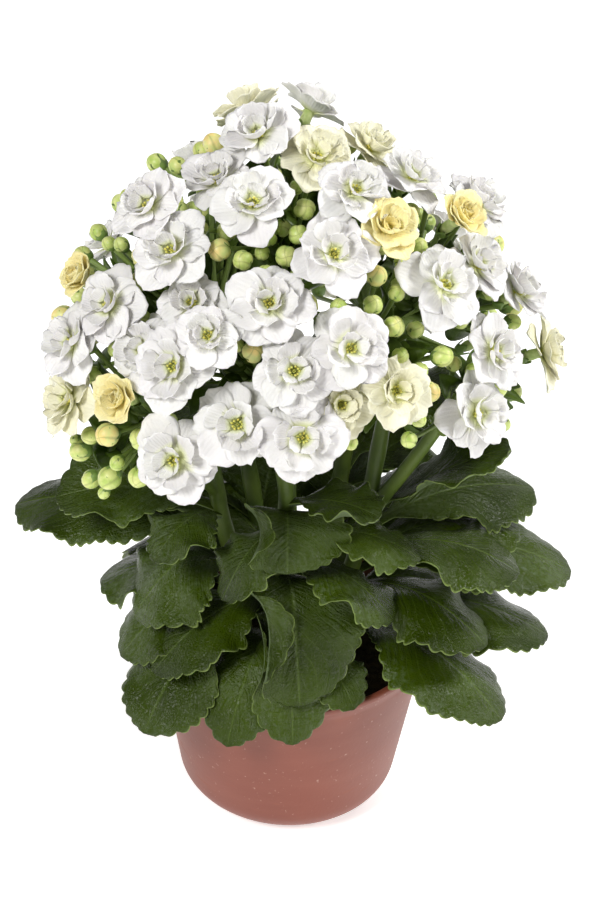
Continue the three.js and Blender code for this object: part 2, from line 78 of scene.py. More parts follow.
def mesh_piece(name, points, faces, unit=MM):
    """A smooth object, from points in millimetres or another unit and faces that point outwards."""
    mesh = bpy.data.meshes.new(name)
    mesh.from_pydata([tuple(c * unit for c in p) for p in points], [], faces)
    mesh.shade_smooth()
    piece = bpy.data.objects.new(name, mesh)
    bpy.context.scene.collection.objects.link(piece)
    return piece


def turned(name, profile, steps, unit=MM):
    """A closed solid of revolution, from a profile that runs round its outside from axis to axis."""
    count = len(profile) - 2
    points = [(0, 0, profile[0][1])]
    for k in range(steps):
        angle = FULL_TURN * k / steps
        points += [(r * math.cos(angle), r * math.sin(angle), z) for r, z in profile[1:-1]]
    points.append((0, 0, profile[-1][1]))
    faces = []
    for k in range(steps):
        here = 1 + k * count
        there = 1 + (k + 1) % steps * count
        faces.append((0, there, here))
        faces += [(here + i, there + i, there + i + 1, here + i + 1) for i in range(count - 1)]
        faces.append((here + count - 1, there + count - 1, len(points) - 1))
    return mesh_piece(name, points, faces, unit)


class Value:
    """A value that runs through a tree of steps. Plain arithmetic on it adds a step."""

    def __init__(self, tree, socket):
        self.tree = tree
        self.socket = socket

    def step(self, operation, other=0.0):
        return node(self.tree, "ShaderNodeMath", {"operation": operation}, feeds=(self, other))

    def __add__(self, other):
        return self.step("ADD", other)

    def __sub__(self, other):
        return self.step("SUBTRACT", other)

    def __mul__(self, other):
        return self.step("MULTIPLY", other)

    def __truediv__(self, other):
        return self.step("DIVIDE", other)


def feed(socket, value):
    """Feeds a socket with a value, or gives it a constant."""
    if isinstance(value, Value):
        value.tree.links.new(value.socket, socket)
    else:
        socket.default_value = value


def node(tree, kind, settings=None, output=None, feeds=(), **inputs):
    """A new step with its settings and inputs. It gives the output that is named, or else its first.

    Inputs go by name, where an underscore is a space, or by their order in feeds."""
    made = tree.nodes.new(kind)
    for key, value in (settings or {}).items():
        setattr(made, key, value)
    for socket, value in zip(made.inputs, feeds):
        feed(socket, value)
    for label, value in inputs.items():
        wanted = label.replace("_", " ")
        feed(next(s for s in made.inputs if s.name == wanted and s.enabled), value)
    return Value(tree, made.outputs[output] if output else next(s for s in made.outputs if s.enabled))


def new_tree(name, kind, inputs, outputs):
    """A tree with named inputs and outputs, what it is given as values, and where its results go."""
    tree = bpy.data.node_groups.new(name, kind)
    for way, sockets in (("INPUT", inputs), ("OUTPUT", outputs)):
        for label, sort in sockets.items():
            tree.interface.new_socket(label, in_out=way, socket_type=f"NodeSocket{sort}")
    given = tree.nodes.new("NodeGroupInput").outputs
    return tree, {s.name: Value(tree, s) for s in given if s.name}, tree.nodes.new("NodeGroupOutput").inputs


def ranged(value, low, high, to_low, to_high):
    """A value's range from low to high, moved to another range and held inside it."""
    return node(value.tree, "ShaderNodeMapRange", feeds=(value, low, high, to_low, to_high))


def noise_mask(coordinates, scale, low, high, detail):
    """Noise on the coordinates, stretched between two levels to a mask from 0 to 1."""
    noise = node(coordinates.tree, "ShaderNodeTexNoise", Vector=coordinates, Scale=scale, Detail=detail)
    return ranged(noise, low, high, 0.0, 1.0)


def mixed(mask, first, second):
    """A colour mixed by a mask."""
    mix = mask.tree.nodes.new("ShaderNodeMix")
    mix.data_type = "RGBA"
    for socket, value in zip((mix.inputs[0], mix.inputs[6], mix.inputs[7]), (mask, first, second)):
        feed(socket, value)
    return Value(mask.tree, mix.outputs[2])


def mottling_group():
    """Two tones that run into each other, with fine grain and specks, as grown and moulded surfaces have."""
    inputs = {"Vector": "Vector", "Light": "Color", "Dark": "Color", "Patches": "Float", "Grains": "Float"}
    outputs = {"Colour": "Color", "Specks": "Float", "Grain": "Float"}
    group, given, result = new_tree("mottling", "ShaderNodeTree", inputs, outputs)
    patches = node(group, "ShaderNodeTexNoise", Vector=given["Vector"], Scale=given["Patches"], Detail=5.0)
    grain = node(group, "ShaderNodeTexNoise", Vector=given["Vector"], Scale=given["Grains"], Detail=2.0)
    share = ranged(patches, 0.35, 0.65, 0.0, 1.0)
    feed(result["Colour"], mixed(share, given["Dark"], given["Light"]))
    feed(result["Specks"], ranged(grain, 0.68, 0.76, 0.0, 1.0))
    feed(result["Grain"], grain)
    return group


MOTTLING = mottling_group()


def new_material(name, roughness, soft=None, specular=None):
    """A material with its tree, its surface's inputs and the piece's own coordinates.

    A soft surface lets a share of the light in, to a depth for each colour."""
    material = bpy.data.materials.new(name)
    material.use_nodes = True
    tree = material.node_tree
    surface = tree.nodes["Principled BSDF"].inputs
    surface["Roughness"].default_value = roughness
    if soft:
        surface["Subsurface Weight"].default_value = soft[0]
        surface["Subsurface Radius"].default_value = soft[1]
    if specular:
        surface["Specular IOR Level"].default_value = specular
    return material, tree, surface, node(tree, "ShaderNodeTexCoord", output="Object")


def mottled(coordinates, light, dark, patches, grains):
    """The mottling with a material's own colours and scales."""
    made = coordinates.tree.nodes.new("ShaderNodeGroup")
    made.node_tree = MOTTLING
    for socket, value in zip(made.inputs, (coordinates, light, dark, patches, grains)):
        feed(socket, value)
    return {socket.name: Value(coordinates.tree, socket) for socket in made.outputs}


def finish_surface(surface, colour, height, depth_mm):
    """Colours a surface, and gives it relief of a real depth from a height mask."""
    feed(surface["Base Color"], colour)
    feed(surface["Normal"], node(height.tree, "ShaderNodeBump", Distance=depth_mm * MM, Height=height))


def plain_skin(name, roughness, tones, scales, depth_mm, **touch):
    """A surface of two mottled tones, with a fine grain in relief."""
    material, _, surface, coordinates = new_material(name, roughness, **touch)
    skin = mottled(coordinates, *tones, *scales)
    finish_surface(surface, skin["Colour"], skin["Grain"], depth_mm)
    return material


def pot_material():
    material, tree, surface, coordinates = new_material("terracotta_plastic", 0.5)
    tones = mottled(coordinates, CLAY, CLAY_DARK, 16.0, 620.0)
    round_wall = node(tree, "ShaderNodeMapping", Vector=coordinates, Scale=(1, 1, 5))
    scuffs = noise_mask(round_wall, 90.0, 0.62, 0.72, 8.0)
    streaks = noise_mask(round_wall, 22.0, 0.42, 0.72, 6.0)
    colour = mixed(streaks * 0.28, tones["Colour"], CLAY_PALE)
    colour = mixed(scuffs * 0.45, colour, CLAY_PALE)
    colour = mixed(tones["Specks"] * 0.45, colour, CLAY_CHIP)
    feed(surface["Roughness"], ranged(scuffs, 0.0, 1.0, 0.46, 0.62))
    finish_surface(surface, colour, tones["Grain"], CLAY_GRAIN_MM)
    return material


def pot_profile():
    """The shell's outline, from the middle of its foot, up its outside, over the rim and down its inside."""
    within, beyond = DRAIN_PCD_R - DRAIN_R - 4, DRAIN_PCD_R + DRAIN_R + 2
    outside = arc(POT_CORNER, POT_CORNER_R, -math.pi / 2, -WALL_SLOPE, 14)
    low, high = outside[-1], (POT_RIM_R - 0.3, POT_HEIGHT - 3.5)
    wall = []
    for share in np.linspace(0.06, 1, 16):
        z = low[1] + share * (high[1] - low[1])
        ring = MOULD_RING * math.exp(-(((z - POT_HEIGHT + MOULD_RING_DROP) / 1.5) ** 2))
        wall.append((low[0] + share * (high[0] - low[0]) + ring, z))
    outer = POT_RIM_R + POT_BEAD
    inner = POT_RIM_R - POT_WALL
    bead = [(outer - 0.4, POT_HEIGHT - 3), (outer, POT_HEIGHT - 2.3), (outer, POT_HEIGHT - 1)]
    lip = [(outer - 0.2, POT_HEIGHT - 0.35), (outer - 0.8, POT_HEIGHT), (inner + 0.6, POT_HEIGHT)]
    inside = arc(POT_CORNER, POT_CORNER_R - POT_WALL, -WALL_SLOPE, -math.pi / 2, 12)
    return [
        (0, 0), (within, 0), (beyond, 0), *outside, *wall, *bead, *lip, (inner, POT_HEIGHT - 0.5),
        *inside, (beyond, POT_WALL), (within, POT_WALL), (0, POT_WALL),
    ]


def plain_mesh(piece):
    """Turns what has been worked on a piece into its own mesh."""
    graph = bpy.context.evaluated_depsgraph_get()
    made = bpy.data.meshes.new_from_object(piece.evaluated_get(graph))
    name = piece.name
    made.name = name
    if piece.type == "MESH":
        piece.modifiers.clear()
        piece.data = made
        return piece
    bpy.data.objects.remove(piece)
    solid = bpy.data.objects.new(name, made)
    bpy.context.scene.collection.objects.link(solid)
    return solid


pot = turned("pot_shell", pot_profile(), POT_STEPS)
drills = []
for k in range(DRAIN_HOLES):
    turn = Matrix.Rotation(DRAIN_TURN + FULL_TURN * k / DRAIN_HOLES, 3, "Z")
    drill = turned("drain", [(0, -2), (DRAIN_R, -2), (DRAIN_R, 4), (0, 4)], 32)
    drill.data.transform(Matrix.Translation(turn @ Vector((DRAIN_PCD_R * MM, 0, 0))))
    pot.modifiers.new("drain", "BOOLEAN").object = drill
    drills.append(drill)
pot = plain_mesh(pot)
for drill in drills:
    bpy.data.objects.remove(drill)
pot.data.materials.clear()
pot.data.materials.append(pot_material())
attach(pot, "root")
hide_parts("pot")

# Soil: dark fibrous peat, pressed round the stems and loose on top. It fills the pot to just under the rim,
# and its surface is a litter of crumbs.
SOIL_TOP = 65.0
SOIL_REACH = 48.6
SOIL_GAP = 0.75
SOIL_EDGE_DROP = 2.4
SOIL_CROWN = 2
SOIL_RELIEF = 1.2
SOIL_SEED = 3
CRUMBS_PER_M2 = 210000.0
CRUMB_MM = (0.5, 1.5)
CRUMB_DEPTH = 3.2
PEAT = (0.017, 0.010, 0.006, 1)
PEAT_PALE = (0.060, 0.034, 0.019, 1)
PEAT_GRAIN_MM = 0.5


def shape_tree(name, inputs):
    """A tree that works on a shape."""
    shape = {"Geometry": "Geometry"}
    return new_tree(name, "GeometryNodeTree", {**shape, **inputs}, shape)


def random_value(tree, low, high, seed, kind="FLOAT"):
    """A random value for each point, between low and high."""
    return node(tree, "FunctionNodeRandomValue", {"data_type": kind}, Min=low, Max=high, Seed=seed)


def shape_of(thing):
    """The shape of an object that a tree is given."""
    return node(thing.tree, "GeometryNodeObjectInfo", output="Geometry", Object=thing)


def together(*shapes):
    """Several shapes as one."""
    both = shapes[0].tree.nodes.new("GeometryNodeJoinGeometry")
    for shape in shapes:
        feed(both.inputs[0], shape)
    return Value(shapes[0].tree, both.outputs[0])


def finish_tree(shape, material, result):
    """Every tree ends as one real mesh with its material."""
    real = node(shape.tree, "GeometryNodeRealizeInstances", Geometry=shape)
    smooth = node(shape.tree, "GeometryNodeSetShadeSmooth", Geometry=real)
    feed(result[0], node(shape.tree, "GeometryNodeSetMaterial", Geometry=smooth, Material=material))


def grow(piece, tree, **values):
    """Runs a tree on a piece, with the tree's inputs by name, and leaves a plain mesh."""
    growth = piece.modifiers.new(tree.name, "NODES")
    growth.node_group = tree
    for item in tree.interface.items_tree:
        key = item.name.replace(" ", "_")
        if item.in_out == "INPUT" and key in values:
            growth[item.identifier] = values[key]
    return plain_mesh(piece)


def crumb_tree():
    """A litter of crumbs, each with its own turn and size, over the top of the soil."""
    inputs = {"Crumb": "Object", "Density": "Float", "Material": "Material"}
    tree, given, result = shape_tree("crumbs", inputs)
    place = node(tree, "GeometryNodeInputPosition")
    height = node(tree, "ShaderNodeSeparateXYZ", output="Z", Vector=place)
    near_top = height.step("GREATER_THAN", (SOIL_TOP - CRUMB_DEPTH) * MM)
    spread = node(
        tree, "GeometryNodeDistributePointsOnFaces", Mesh=given["Geometry"],
        Selection=near_top, Density=given["Density"], Seed=4,
    )
    littered = node(
        tree, "GeometryNodeInstanceOnPoints", Points=spread, Instance=shape_of(given["Crumb"]),
        Rotation=random_value(tree, (0, 0, 0), (6.28, 6.28, 6.28), 5, "FLOAT_VECTOR"),
        Scale=random_value(tree, CRUMB_MM[0] * MM, CRUMB_MM[1] * MM, 6),
    )
    finish_tree(together(given["Geometry"], littered), given["Material"], result)
    return tree


def uneven(x, y, seed):
    """A smooth relief from -1 to 1, made of a few waves in directions that the seed draws."""
    waves = random.Random(seed)
    total = 0.0
    for size in (31.0, 19.0, 11.0, 7.0):
        way = waves.uniform(0, math.pi)
        total += math.sin((x * math.cos(way) + y * math.sin(way)) * FULL_TURN / size + waves.uniform(0, 6))
    return total / 4


bed = [(0, POT_WALL + SOIL_GAP)]
bed += arc(POT_CORNER, POT_CORNER_R - POT_WALL - SOIL_GAP, -math.pi / 2, -WALL_SLOPE, 8)
for inwards in np.linspace(0, 1, 40):
    rise = min(inwards * 8, 1) * SOIL_CROWN
    bed.append((SOIL_REACH - inwards * SOIL_REACH, SOIL_TOP - SOIL_EDGE_DROP + rise))
soil = turned("peat_fill", bed, 96)
for vertex in soil.data.vertices:
    if vertex.co.z > (SOIL_TOP - SOIL_CROWN) * MM:
        vertex.co.z += SOIL_RELIEF * MM * uneven(vertex.co.x / MM, vertex.co.y / MM, SOIL_SEED)
crumb = turned("crumb", [(0, -0.5), (0.5, -0.3), (0.45, 0.25), (0, 0.45)], 5, 1)
peat = plain_skin("peat", 0.95, (PEAT_PALE, PEAT), (420.0, 1800.0), PEAT_GRAIN_MM)
soil = grow(soil, crumb_tree(), Crumb=crumb, Density=CRUMBS_PER_M2, Material=peat)
bpy.data.objects.remove(crumb)
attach(soil, "root")
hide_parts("soil")

# Shoots: six rooted cuttings with fleshy green stems. Each ends in a knuckle, from which thin stalks spread
# to its buds and blooms, and three of them fork to a second head lower down.
STEM_R = 3.6
FORK_R = 2.9
BRANCH_R = 2.5
FORK_TIP_R = 2.3
FORK_STEPS = 9
FORK_SAG = -3.5
STALK_SAG = -1.5
STALK_START = 2
STEM_SWELL = 0.05
STEM_SWELL_MM = 3.1
STALK_RADII = (1.7, 1.25, 1.0, 0.85, 0.85, 0.85, 1.1)
ROD_SIDES = 12
ROOT_DEPTH = 16.0
COLLAR = 5.0
HEAD_HEIGHT = 240.0
KNUCKLE_R = 4.2
KNUCKLE = [(-7, 0.4), (-5, 0.66), (-2.5, 0.92), (0, 1), (2.5, 0.8), (4, 0.2)]
DOME_CENTRE = Vector((-6, 10, 190))
DOME_RADII = Vector((88, 85, 96))
BLOOM_DEPTH = 7.0
BLOOM_UPTURN = 15
BLOOM_LEAN = 0.6
CALYX_DEPTH = 2.6
CALYX_R = 3.0
BUD_SEAT = 0.35
BUD_CALYX = 0.98
STEM_GREEN = (0.115, 0.165, 0.026, 1)
STEM_DARK = (0.055, 0.090, 0.012, 1)
STEM_HIGH = (0.26, 0.36, 0.09, 1)
STEM_PALING_M = (0.14, 0.22)
GREEN_GLOW = (0.002, 0.003, 0.001)
# Each shoot's place in the soil, the marks on its way up, its knuckle and its second knuckle
SHOOTS = {
    "top": ((-1, 4), [(-3, 7, 130), (-5, 6, 196)], (-5, 1, 243), None),
    "front": ((-3, -13), [(-4, -20, 120), (-4, -27, 160)], (-15, -32, 207), (18, -28, 210)),
    "left": ((-18, -3), [(-21, -7, 100), (-29, -11, 142)], (-38, -12, 216), (-49, -26, 185)),
    "right": ((19, -1), [(20, -6, 96), (26, -12, 134)], (36, -2, 216), (52, -24, 187)),
    "back_right": ((12, 15), [(15, 20, 110), (20, 29, 155)], (24, 38, 192), None),
    "back_left": ((-12, 16), [(-15, 21, 110), (-24, 30, 155)], (-32, 36, 188), None),
}
# Buds, each as a bearing and a tilt on the dome, a diameter, and how yellow it is from 0 to 1
BUDS = [
    (-54, 94, 6.5, 0.2), (-47, 90, 8.5, 1), (-36, 86, 8, 0.1), (-61, 103, 8, 0.2), (-60, 112, 7, 0.2),
    (-48, 104, 8.5, 0.1), (-37, 98, 7.5, 0.1), (-26, 36, 8, 0.8), (-16, 37, 7, 0.1), (-8, 31, 6.5, 0),
    (0, 35, 7.5, 0.1), (-1, 41, 6.5, 0.1), (9, 24, 7.5, 0.1), (5, 30, 7, 0), (7, 46, 8, 0.3),
    (32, 42, 7.5, 0.7), (28, 48, 7, 0.1), (37, 47, 6, 0.1), (33, 54, 7.5, 0.2), (25, 58, 7, 0.1),
    (38, 66, 6, 0.1), (46, 65, 7.5, 0.1), (40, 72, 7.5, 1), (53, 40, 7, 0.1), (66, 83, 7.5, 0.1),
    (82, 94, 7.5, 0.1), (56, 73, 6, 0), (94, 76, 8.5, 1), (86, 76, 6, 0.1), (101, 62, 8, 0.7),
    (-84, 17, 8, 1), (-53, 45, 8, 0.9), (-76, 73, 8.5, 1), (-8, 57, 8, 0.8), (-48, 77, 7, 0.1),
    (-2, 51, 6, 0.1), (118, 54, 7, 0.1), (112, 62, 8, 0.2), (150, 66, 7, 0.1), (156, 76, 8, 0.3),
    (-118, 56, 7, 0.1), (-125, 64, 8, 0.2), (-150, 66, 8, 0.1), (-146, 76, 7, 0.2), (182, 48, 7, 0.1),
    (188, 56, 8, 0.5),
    (-63, 101, 4.5, 0), (-44, 97, 5.5, 0), (-54, 113, 4.5, 0), (-7, 39, 5.5, 0), (18, 31, 5.5, 0),
    (24, 33, 6, 0.1), (-38, 33, 6, 0.2), (17, 47, 6, 0), (22, 50, 5, 0), (33, 61, 6, 0), (36, 78, 5.5, 0),
    (43, 41, 5, 0), (73, 98, 6, 0), (56, 60, 5.5, 0), (-12, 50, 6, 0), (124, 54, 6, 0), (147, 69, 6, 0),
    (-112, 58, 6, 0), (-156, 55, 6, 0), (174, 39, 6, 0),
]
BUD_SINK = -4.0
REAR_BUD_SINK = -20.0
REAR_BEARING = 110
# Young buds stand deeper between the others, all over the dome, in a spiral
YOUNG_BUDS = 190
YOUNG_SEED = 17
YOUNG_TURN = 137.508
YOUNG_TOP = 0.985
YOUNG_SPAN = 0.95
YOUNG_SINK = -8.5
YOUNG_REAR_SINK = -25.0
YOUNG_MM = (4.8, 7.2)
BLOOM_ROOM = 7
# Blooms, each as a bearing and a tilt on the dome, a diameter, a colour, how open it is, how far it stands
# out of the dome and, where it looks another way than the rest, its own bearing and tilt
BLOOMS = [
    (36, 35, 23, "yellow", 0.5, 6), (70, 41, 20, "yellow", 0.35, 2), (-40, 76, 20, "yellow", 0.35, 0),
    (-66, 58, 17, "yellow", 0.2, 0), (-24, 86, 31, "white", 1, 2), (-10, 74, 30, "white", 1, 0),
    (5, 76, 30, "white", 1, 5), (50, 81, 30, "white", 1, 2), (-26, 64, 30, "white", 0.95, 5),
    (3, 61, 28, "white", 0.95, 2), (17, 57, 29, "white", 0.95, 4), (28, 68, 27, "cream", 0.85, 1),
    (15, 69, 25, "cream", 0.75, -4), (-4, 47, 29, "white", 0.85, 3), (15, 38, 29, "white", 0.9, 8),
    (29, 26, 27, "white", 0.9, 9), (49, 50, 30, "white", 1, 3), (-58, 85, 28, "cream", 0.85, 0),
    (-38, 63, 29, "white", 1, -4), (-18, 56, 24, "white", 0.9, 9), (60, 70, 29, "white", 0.9, 1),
    (-16, 26, 30, "white", 0.9, 2), (-39, 41, 29, "white", 0.9, 2), (-59, 71, 28, "white", 0.9, 2),
    (70, 52, 28, "white", 0.8, -2), (-52, 58, 28, "white", 0.9, 0), (-55, 36, 28, "white", 0.8, 5),
    (-45, 22, 27, "white", 0.75, -3), (-38, 10, 29, "white", 0.8, 3), (71, 28, 28, "white", 0.85, 0),
    (25, 13, 27, "cream", 0.8, -1), (88, 18, 27, "cream", 0.8, -5),
    (-130, 12, 27, "cream", 0.7, -2, -150, 50), (160, 14, 26, "white", 0.7, -4, 150, 52),
    (92, 46, 28, "white", 0.8, 0, 90, 35), (-29, 49, 24, "white", 0.8, -5), (86, 86, 28, "cream", 0.8, 6),
    (84, 67, 28, "white", 0.75, 0, 90, 50), (137, 45, 29, "white", 0.9, -16),
    (-140, 43, 29, "white", 0.95, -16), (125, 66, 28, "white", 0.85, -14), (164, 66, 31, "white", 0.85, -14),
    (-158, 70, 30, "white", 0.85, -13), (-113, 67, 28, "white", 0.9, -14), (112, 95, 28, "white", 0.95, -10),
    (143, 97, 31, "white", 1, -10), (170, 97, 30, "cream", 0.85, -10), (-159, 96, 29, "white", 0.85, -10),
    (-126, 94, 29, "white", 0.95, -10), (-96, 96, 29, "white", 0.85, -10),
]


def aim(bearing, tilt):
    """The unit vector at a bearing round the plant (0 in front, 90 at its right) and a tilt from upright."""
    b, t = math.radians(bearing), math.radians(tilt)
    return Vector((math.sin(t) * math.sin(b), -math.sin(t) * math.cos(b), math.cos(t)))


def on_dome(bearing, tilt, lift=0.0):
    """A point on the dome of flowers, or so many millimetres outside it."""
    way = aim(bearing, tilt)
    radius = 1 / Vector((way.x / DOME_RADII.x, way.y / DOME_RADII.y, way.z / DOME_RADII.z)).length
    return DOME_CENTRE + way * (radius + lift)


def through(marks, steps):
    """A smooth line through marks, with so many steps to each stretch."""
    marks = [Vector(m) for m in marks]
    ends = [2 * marks[0] - marks[1]] + marks + [2 * marks[-1] - marks[-2]]
    line = []
    for a, b, c, d in zip(ends, ends[1:], ends[2:], ends[3:]):
        for t in (i / steps for i in range(steps)):
            bow = (2 * a - 5 * b + 4 * c - d) * t * t + (3 * b - a - 3 * c + d) * t**3
            line.append(0.5 * (2 * b + (c - a) * t + bow))
    return line + [marks[-1]]


def stem_line(name):
    """A stem's line, from its root in the soil up to its first knuckle."""
    (x, y), way, hub, _ = SHOOTS[name]
    return [Vector((x, y, SOIL_TOP - ROOT_DEPTH))] + through([(x, y, SOIL_TOP + COLLAR), *way, hub], 8)


HUBS = [(name, Vector(hub)) for name, (_, _, *hubs) in SHOOTS.items() for hub in hubs if hub]


def seat_on(foot):
    """The nearest knuckle to a foot, as its shoot's name and the point where the foot's stalk starts."""
    name, hub = min(HUBS, key=lambda entry: (entry[1] - foot).length)
    return name, hub + (foot - hub).normalized() * STALK_START


def bent(start, end, rise, steps):
    """A gently arched line between two points."""
    middle = (start + end) / 2 + Vector((0, 0, rise))
    return [start.lerp(middle, t).lerp(middle.lerp(end, t), t) for t in np.linspace(0, 1, steps)]


def add_rod(curve, points, radii):
    """One rod along points, with its own radius at each, in millimetres."""
    spline = curve.splines.new("POLY")
    spline.points.add(len(points) - 1)
    for mark, point, radius in zip(spline.points, points, radii):
        mark.co = (*(point * MM), 1)
        mark.radius = radius * MM


def rod_tree():
    """Round rods along curves, with closed ends."""
    tree, given, result = shape_tree("rods", {"Sides": "Int", "Material": "Material"})
    ring = node(tree, "GeometryNodeCurvePrimitiveCircle", Resolution=given["Sides"], Radius=1.0)
    radius = node(tree, "GeometryNodeInputRadius")
    rods = node(
        tree, "GeometryNodeCurveToMesh",
        Curve=given["Geometry"], Profile_Curve=ring, Scale=radius, Fill_Caps=True,
    )
    finish_tree(rods, given["Material"], result)
    return tree


def set_out_tree():
    """Copies of a pattern on points, each turned to its own way and at its own size."""
    tree, given, result = shape_tree("set_out", {"Pattern": "Object", "Material": "Material"})
    way = node(tree, "GeometryNodeInputNamedAttribute", {"data_type": "FLOAT_VECTOR"}, Name="way")
    size = node(tree, "GeometryNodeInputNamedAttribute", {"data_type": "FLOAT"}, Name="size")
    facing = node(tree, "FunctionNodeAlignRotationToVector", {"axis": "Z"}, Vector=way)
    spin = node(tree, "ShaderNodeCombineXYZ", Z=random_value(tree, 0.0, 6.28, 8))
    turn = node(
        tree, "FunctionNodeRotateRotation", {"rotation_space": "LOCAL"}, Rotation=facing, Rotate_By=spin
    )
    copies = node(
        tree, "GeometryNodeInstanceOnPoints", Points=given["Geometry"],
        Instance=shape_of(given["Pattern"]), Rotation=turn, Scale=size,
    )
    finish_tree(copies, given["Material"], result)
    return tree


def store(piece, **columns):
    """Gives a mesh named numbers on its points."""
    for label, values in columns.items():
        piece.data.attributes.new(label, "FLOAT", "POINT").data.foreach_set("value", values)


def marks_piece(name, marks):
    """Loose points, each with the way it faces, its size in millimetres and its tint."""
    piece = mesh_piece(name, [tuple(mark[0]) for mark in marks], [])
    way = piece.data.attributes.new("way", "FLOAT_VECTOR", "POINT")
    way.data.foreach_set("vector", [c for mark in marks for c in mark[1]])
    store(piece, size=[mark[2] * MM for mark in marks], tint=[mark[3] for mark in marks])
    return piece


def named_value(tree, name):
    """A number that the mesh carries on its points."""
    return node(tree, "ShaderNodeAttribute", {"attribute_name": name}, output="Fac")


def stem_material():
    material, tree, surface, coordinates = new_material("stem_green", 0.42, (0.1, GREEN_GLOW), 0.28)
    tones = mottled(coordinates, STEM_GREEN, STEM_DARK, 55.0, 900.0)
    height = node(tree, "ShaderNodeSeparateXYZ", output="Z", Vector=coordinates)
    colour = mixed(ranged(height, *STEM_PALING_M, 0.0, 0.55), tones["Colour"], STEM_HIGH)
    colour = mixed(tones["Specks"], colour, STEM_DARK)
    finish_surface(surface, colour, tones["Grain"], 0.12)
    return material


blooms = []
for number, (bearing, tilt, size, colour, openness, lift, *look) in enumerate(BLOOMS, 1):
    facing = aim(*look) if look else aim(bearing, BLOOM_UPTURN + BLOOM_LEAN * tilt)
    eye = on_dome(bearing, tilt) + facing * lift
    foot = eye - facing * BLOOM_DEPTH
    shoot, root = seat_on(foot)
    blooms.append({
        "shoot": shoot, "root": root, "facing": facing, "foot": foot, "top": foot - facing * CALYX_DEPTH,
        "seat": foot, "calyx": CALYX_R, "eye": eye, "size": size, "colour": colour, "open": openness,
        "number": number,
    })

buds = []


def add_bud(centre, size, yellow):
    """Sets out a bud, with its stalk from the nearest knuckle and its calyx."""
    shoot, root = seat_on(centre)
    facing = (centre - root).normalized()
    buds.append({
        "shoot": shoot, "root": root, "facing": facing, "foot": centre, "top": centre - facing * size / 2,
        "seat": centre - facing * BUD_SEAT * (size / 2), "calyx": BUD_CALYX * (size / 2),
        "size": size, "yellow": yellow,
    })


for bearing, tilt, size, yellow in BUDS:
    add_bud(on_dome(bearing, tilt, REAR_BUD_SINK if abs(bearing) > REAR_BEARING else BUD_SINK), size, yellow)

young = random.Random(YOUNG_SEED)
for k in range(YOUNG_BUDS):
    tilt = math.degrees(math.acos(YOUNG_TOP - YOUNG_SPAN * (k + 0.5) / YOUNG_BUDS))
    bearing = (k * YOUNG_TURN + young.uniform(-5, 5)) % 360 - 180
    sink = YOUNG_REAR_SINK if abs(bearing) > REAR_BEARING else YOUNG_SINK
    centre = on_dome(bearing, tilt, sink + young.uniform(-3, 2))
    size = young.uniform(*YOUNG_MM)
    room = [(bloom["foot"] - centre).length - BLOOM_ROOM for bloom in blooms]
    room += [(bud["foot"] - centre).length - (bud["size"] + size) / 2 for bud in buds]
    if min(room) > 0:
        add_bud(centre, size, young.choice((0, 0, 0.1, 0.3)))


def growths(name):
    """The blooms and buds that a shoot carries."""
    return [growth for growth in blooms + buds if growth["shoot"] == name]


ROD_TREE = rod_tree()
STEM_FINISH = stem_material()
for name, (_, way, hub, second) in SHOOTS.items():
    wood = bpy.data.curves.new(f"stems_{name}", "CURVE")
    wood.dimensions = "3D"
    line = stem_line(name)
    thickness = [np.interp(p.z, (SOIL_TOP, HEAD_HEIGHT), (STEM_R, BRANCH_R)) for p in line]
    swell = [1 + STEM_SWELL * math.sin(p.z / STEM_SWELL_MM) for p in line]
    add_rod(wood, line, [r * s for r, s in zip(thickness, swell)])
    if second:
        fork = bent(Vector(way[1]), Vector(second), FORK_SAG, FORK_STEPS)
        add_rod(wood, fork, np.linspace(FORK_R, FORK_TIP_R, FORK_STEPS))
    for knuckle in (hub, second):
        if knuckle:
            knob = [Vector(knuckle) + Vector((0, 0, rise)) for rise, _ in KNUCKLE]
            add_rod(wood, knob, [KNUCKLE_R * share for _, share in KNUCKLE])
    for growth in growths(name):
        add_rod(wood, bent(growth["root"], growth["top"], STALK_SAG, len(STALK_RADII)), STALK_RADII)
    stems = bpy.data.objects.new(f"stems_{name}", wood)
    bpy.context.scene.collection.objects.link(stems)
    stems = grow(stems, ROD_TREE, Sides=ROD_SIDES, Material=STEM_FINISH)
    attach(stems, "root")
    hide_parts(f"shoot_{name}")

# Calyces: four small pointed green sepals, grown together in a cup, hold each bud and each bloom on the end
# of its stalk.
CALYX_AROUND = 24
CALYX_UP = 4
CALYX_INSIDE = 0.84
SEPAL_GREEN = (0.20, 0.31, 0.065, 1)
SEPAL_DARK = (0.10, 0.17, 0.03, 1)


def capped_faces(rings, around):
    """The faces of a closed form: a first point, rings that run on from it, and a last point."""
    faces = []
    last = 1 + rings * around
    for k in range(around):
        n = (k + 1) % around
        faces.append((0, 1 + n, 1 + k))
        for a in range(1, last - around, around):
            faces.append((a + k, a + n, a + around + n, a + around + k))
        faces.append((last - around + k, last - around + n, last))
    return faces


def calyx_pattern():
    """A cup with four pointed lobes, one unit in radius, that opens along +Z from the top of its stalk."""
    points = [(0, 0, -0.9)]
    upwards = [(j + 1) / CALYX_UP for j in range(CALYX_UP)]
    for side, share in [(1.0, s) for s in upwards] + [(CALYX_INSIDE, s) for s in reversed(upwards)]:
        for angle in (FULL_TURN * k / CALYX_AROUND for k in range(CALYX_AROUND)):
            lobe = 0.5 + 0.5 * math.cos(4 * angle)
            reach = side * (0.25 + 0.75 * share**0.6 - 0.1 * share**3 * (1 - lobe))
            height = -0.9 + share * (0.75 + 0.85 * lobe * share)
            points.append((reach * math.cos(angle), reach * math.sin(angle), height))
    points.append((0, 0, -0.7))
    return mesh_piece("calyx_pattern", points, capped_faces(2 * CALYX_UP, CALYX_AROUND), 1)


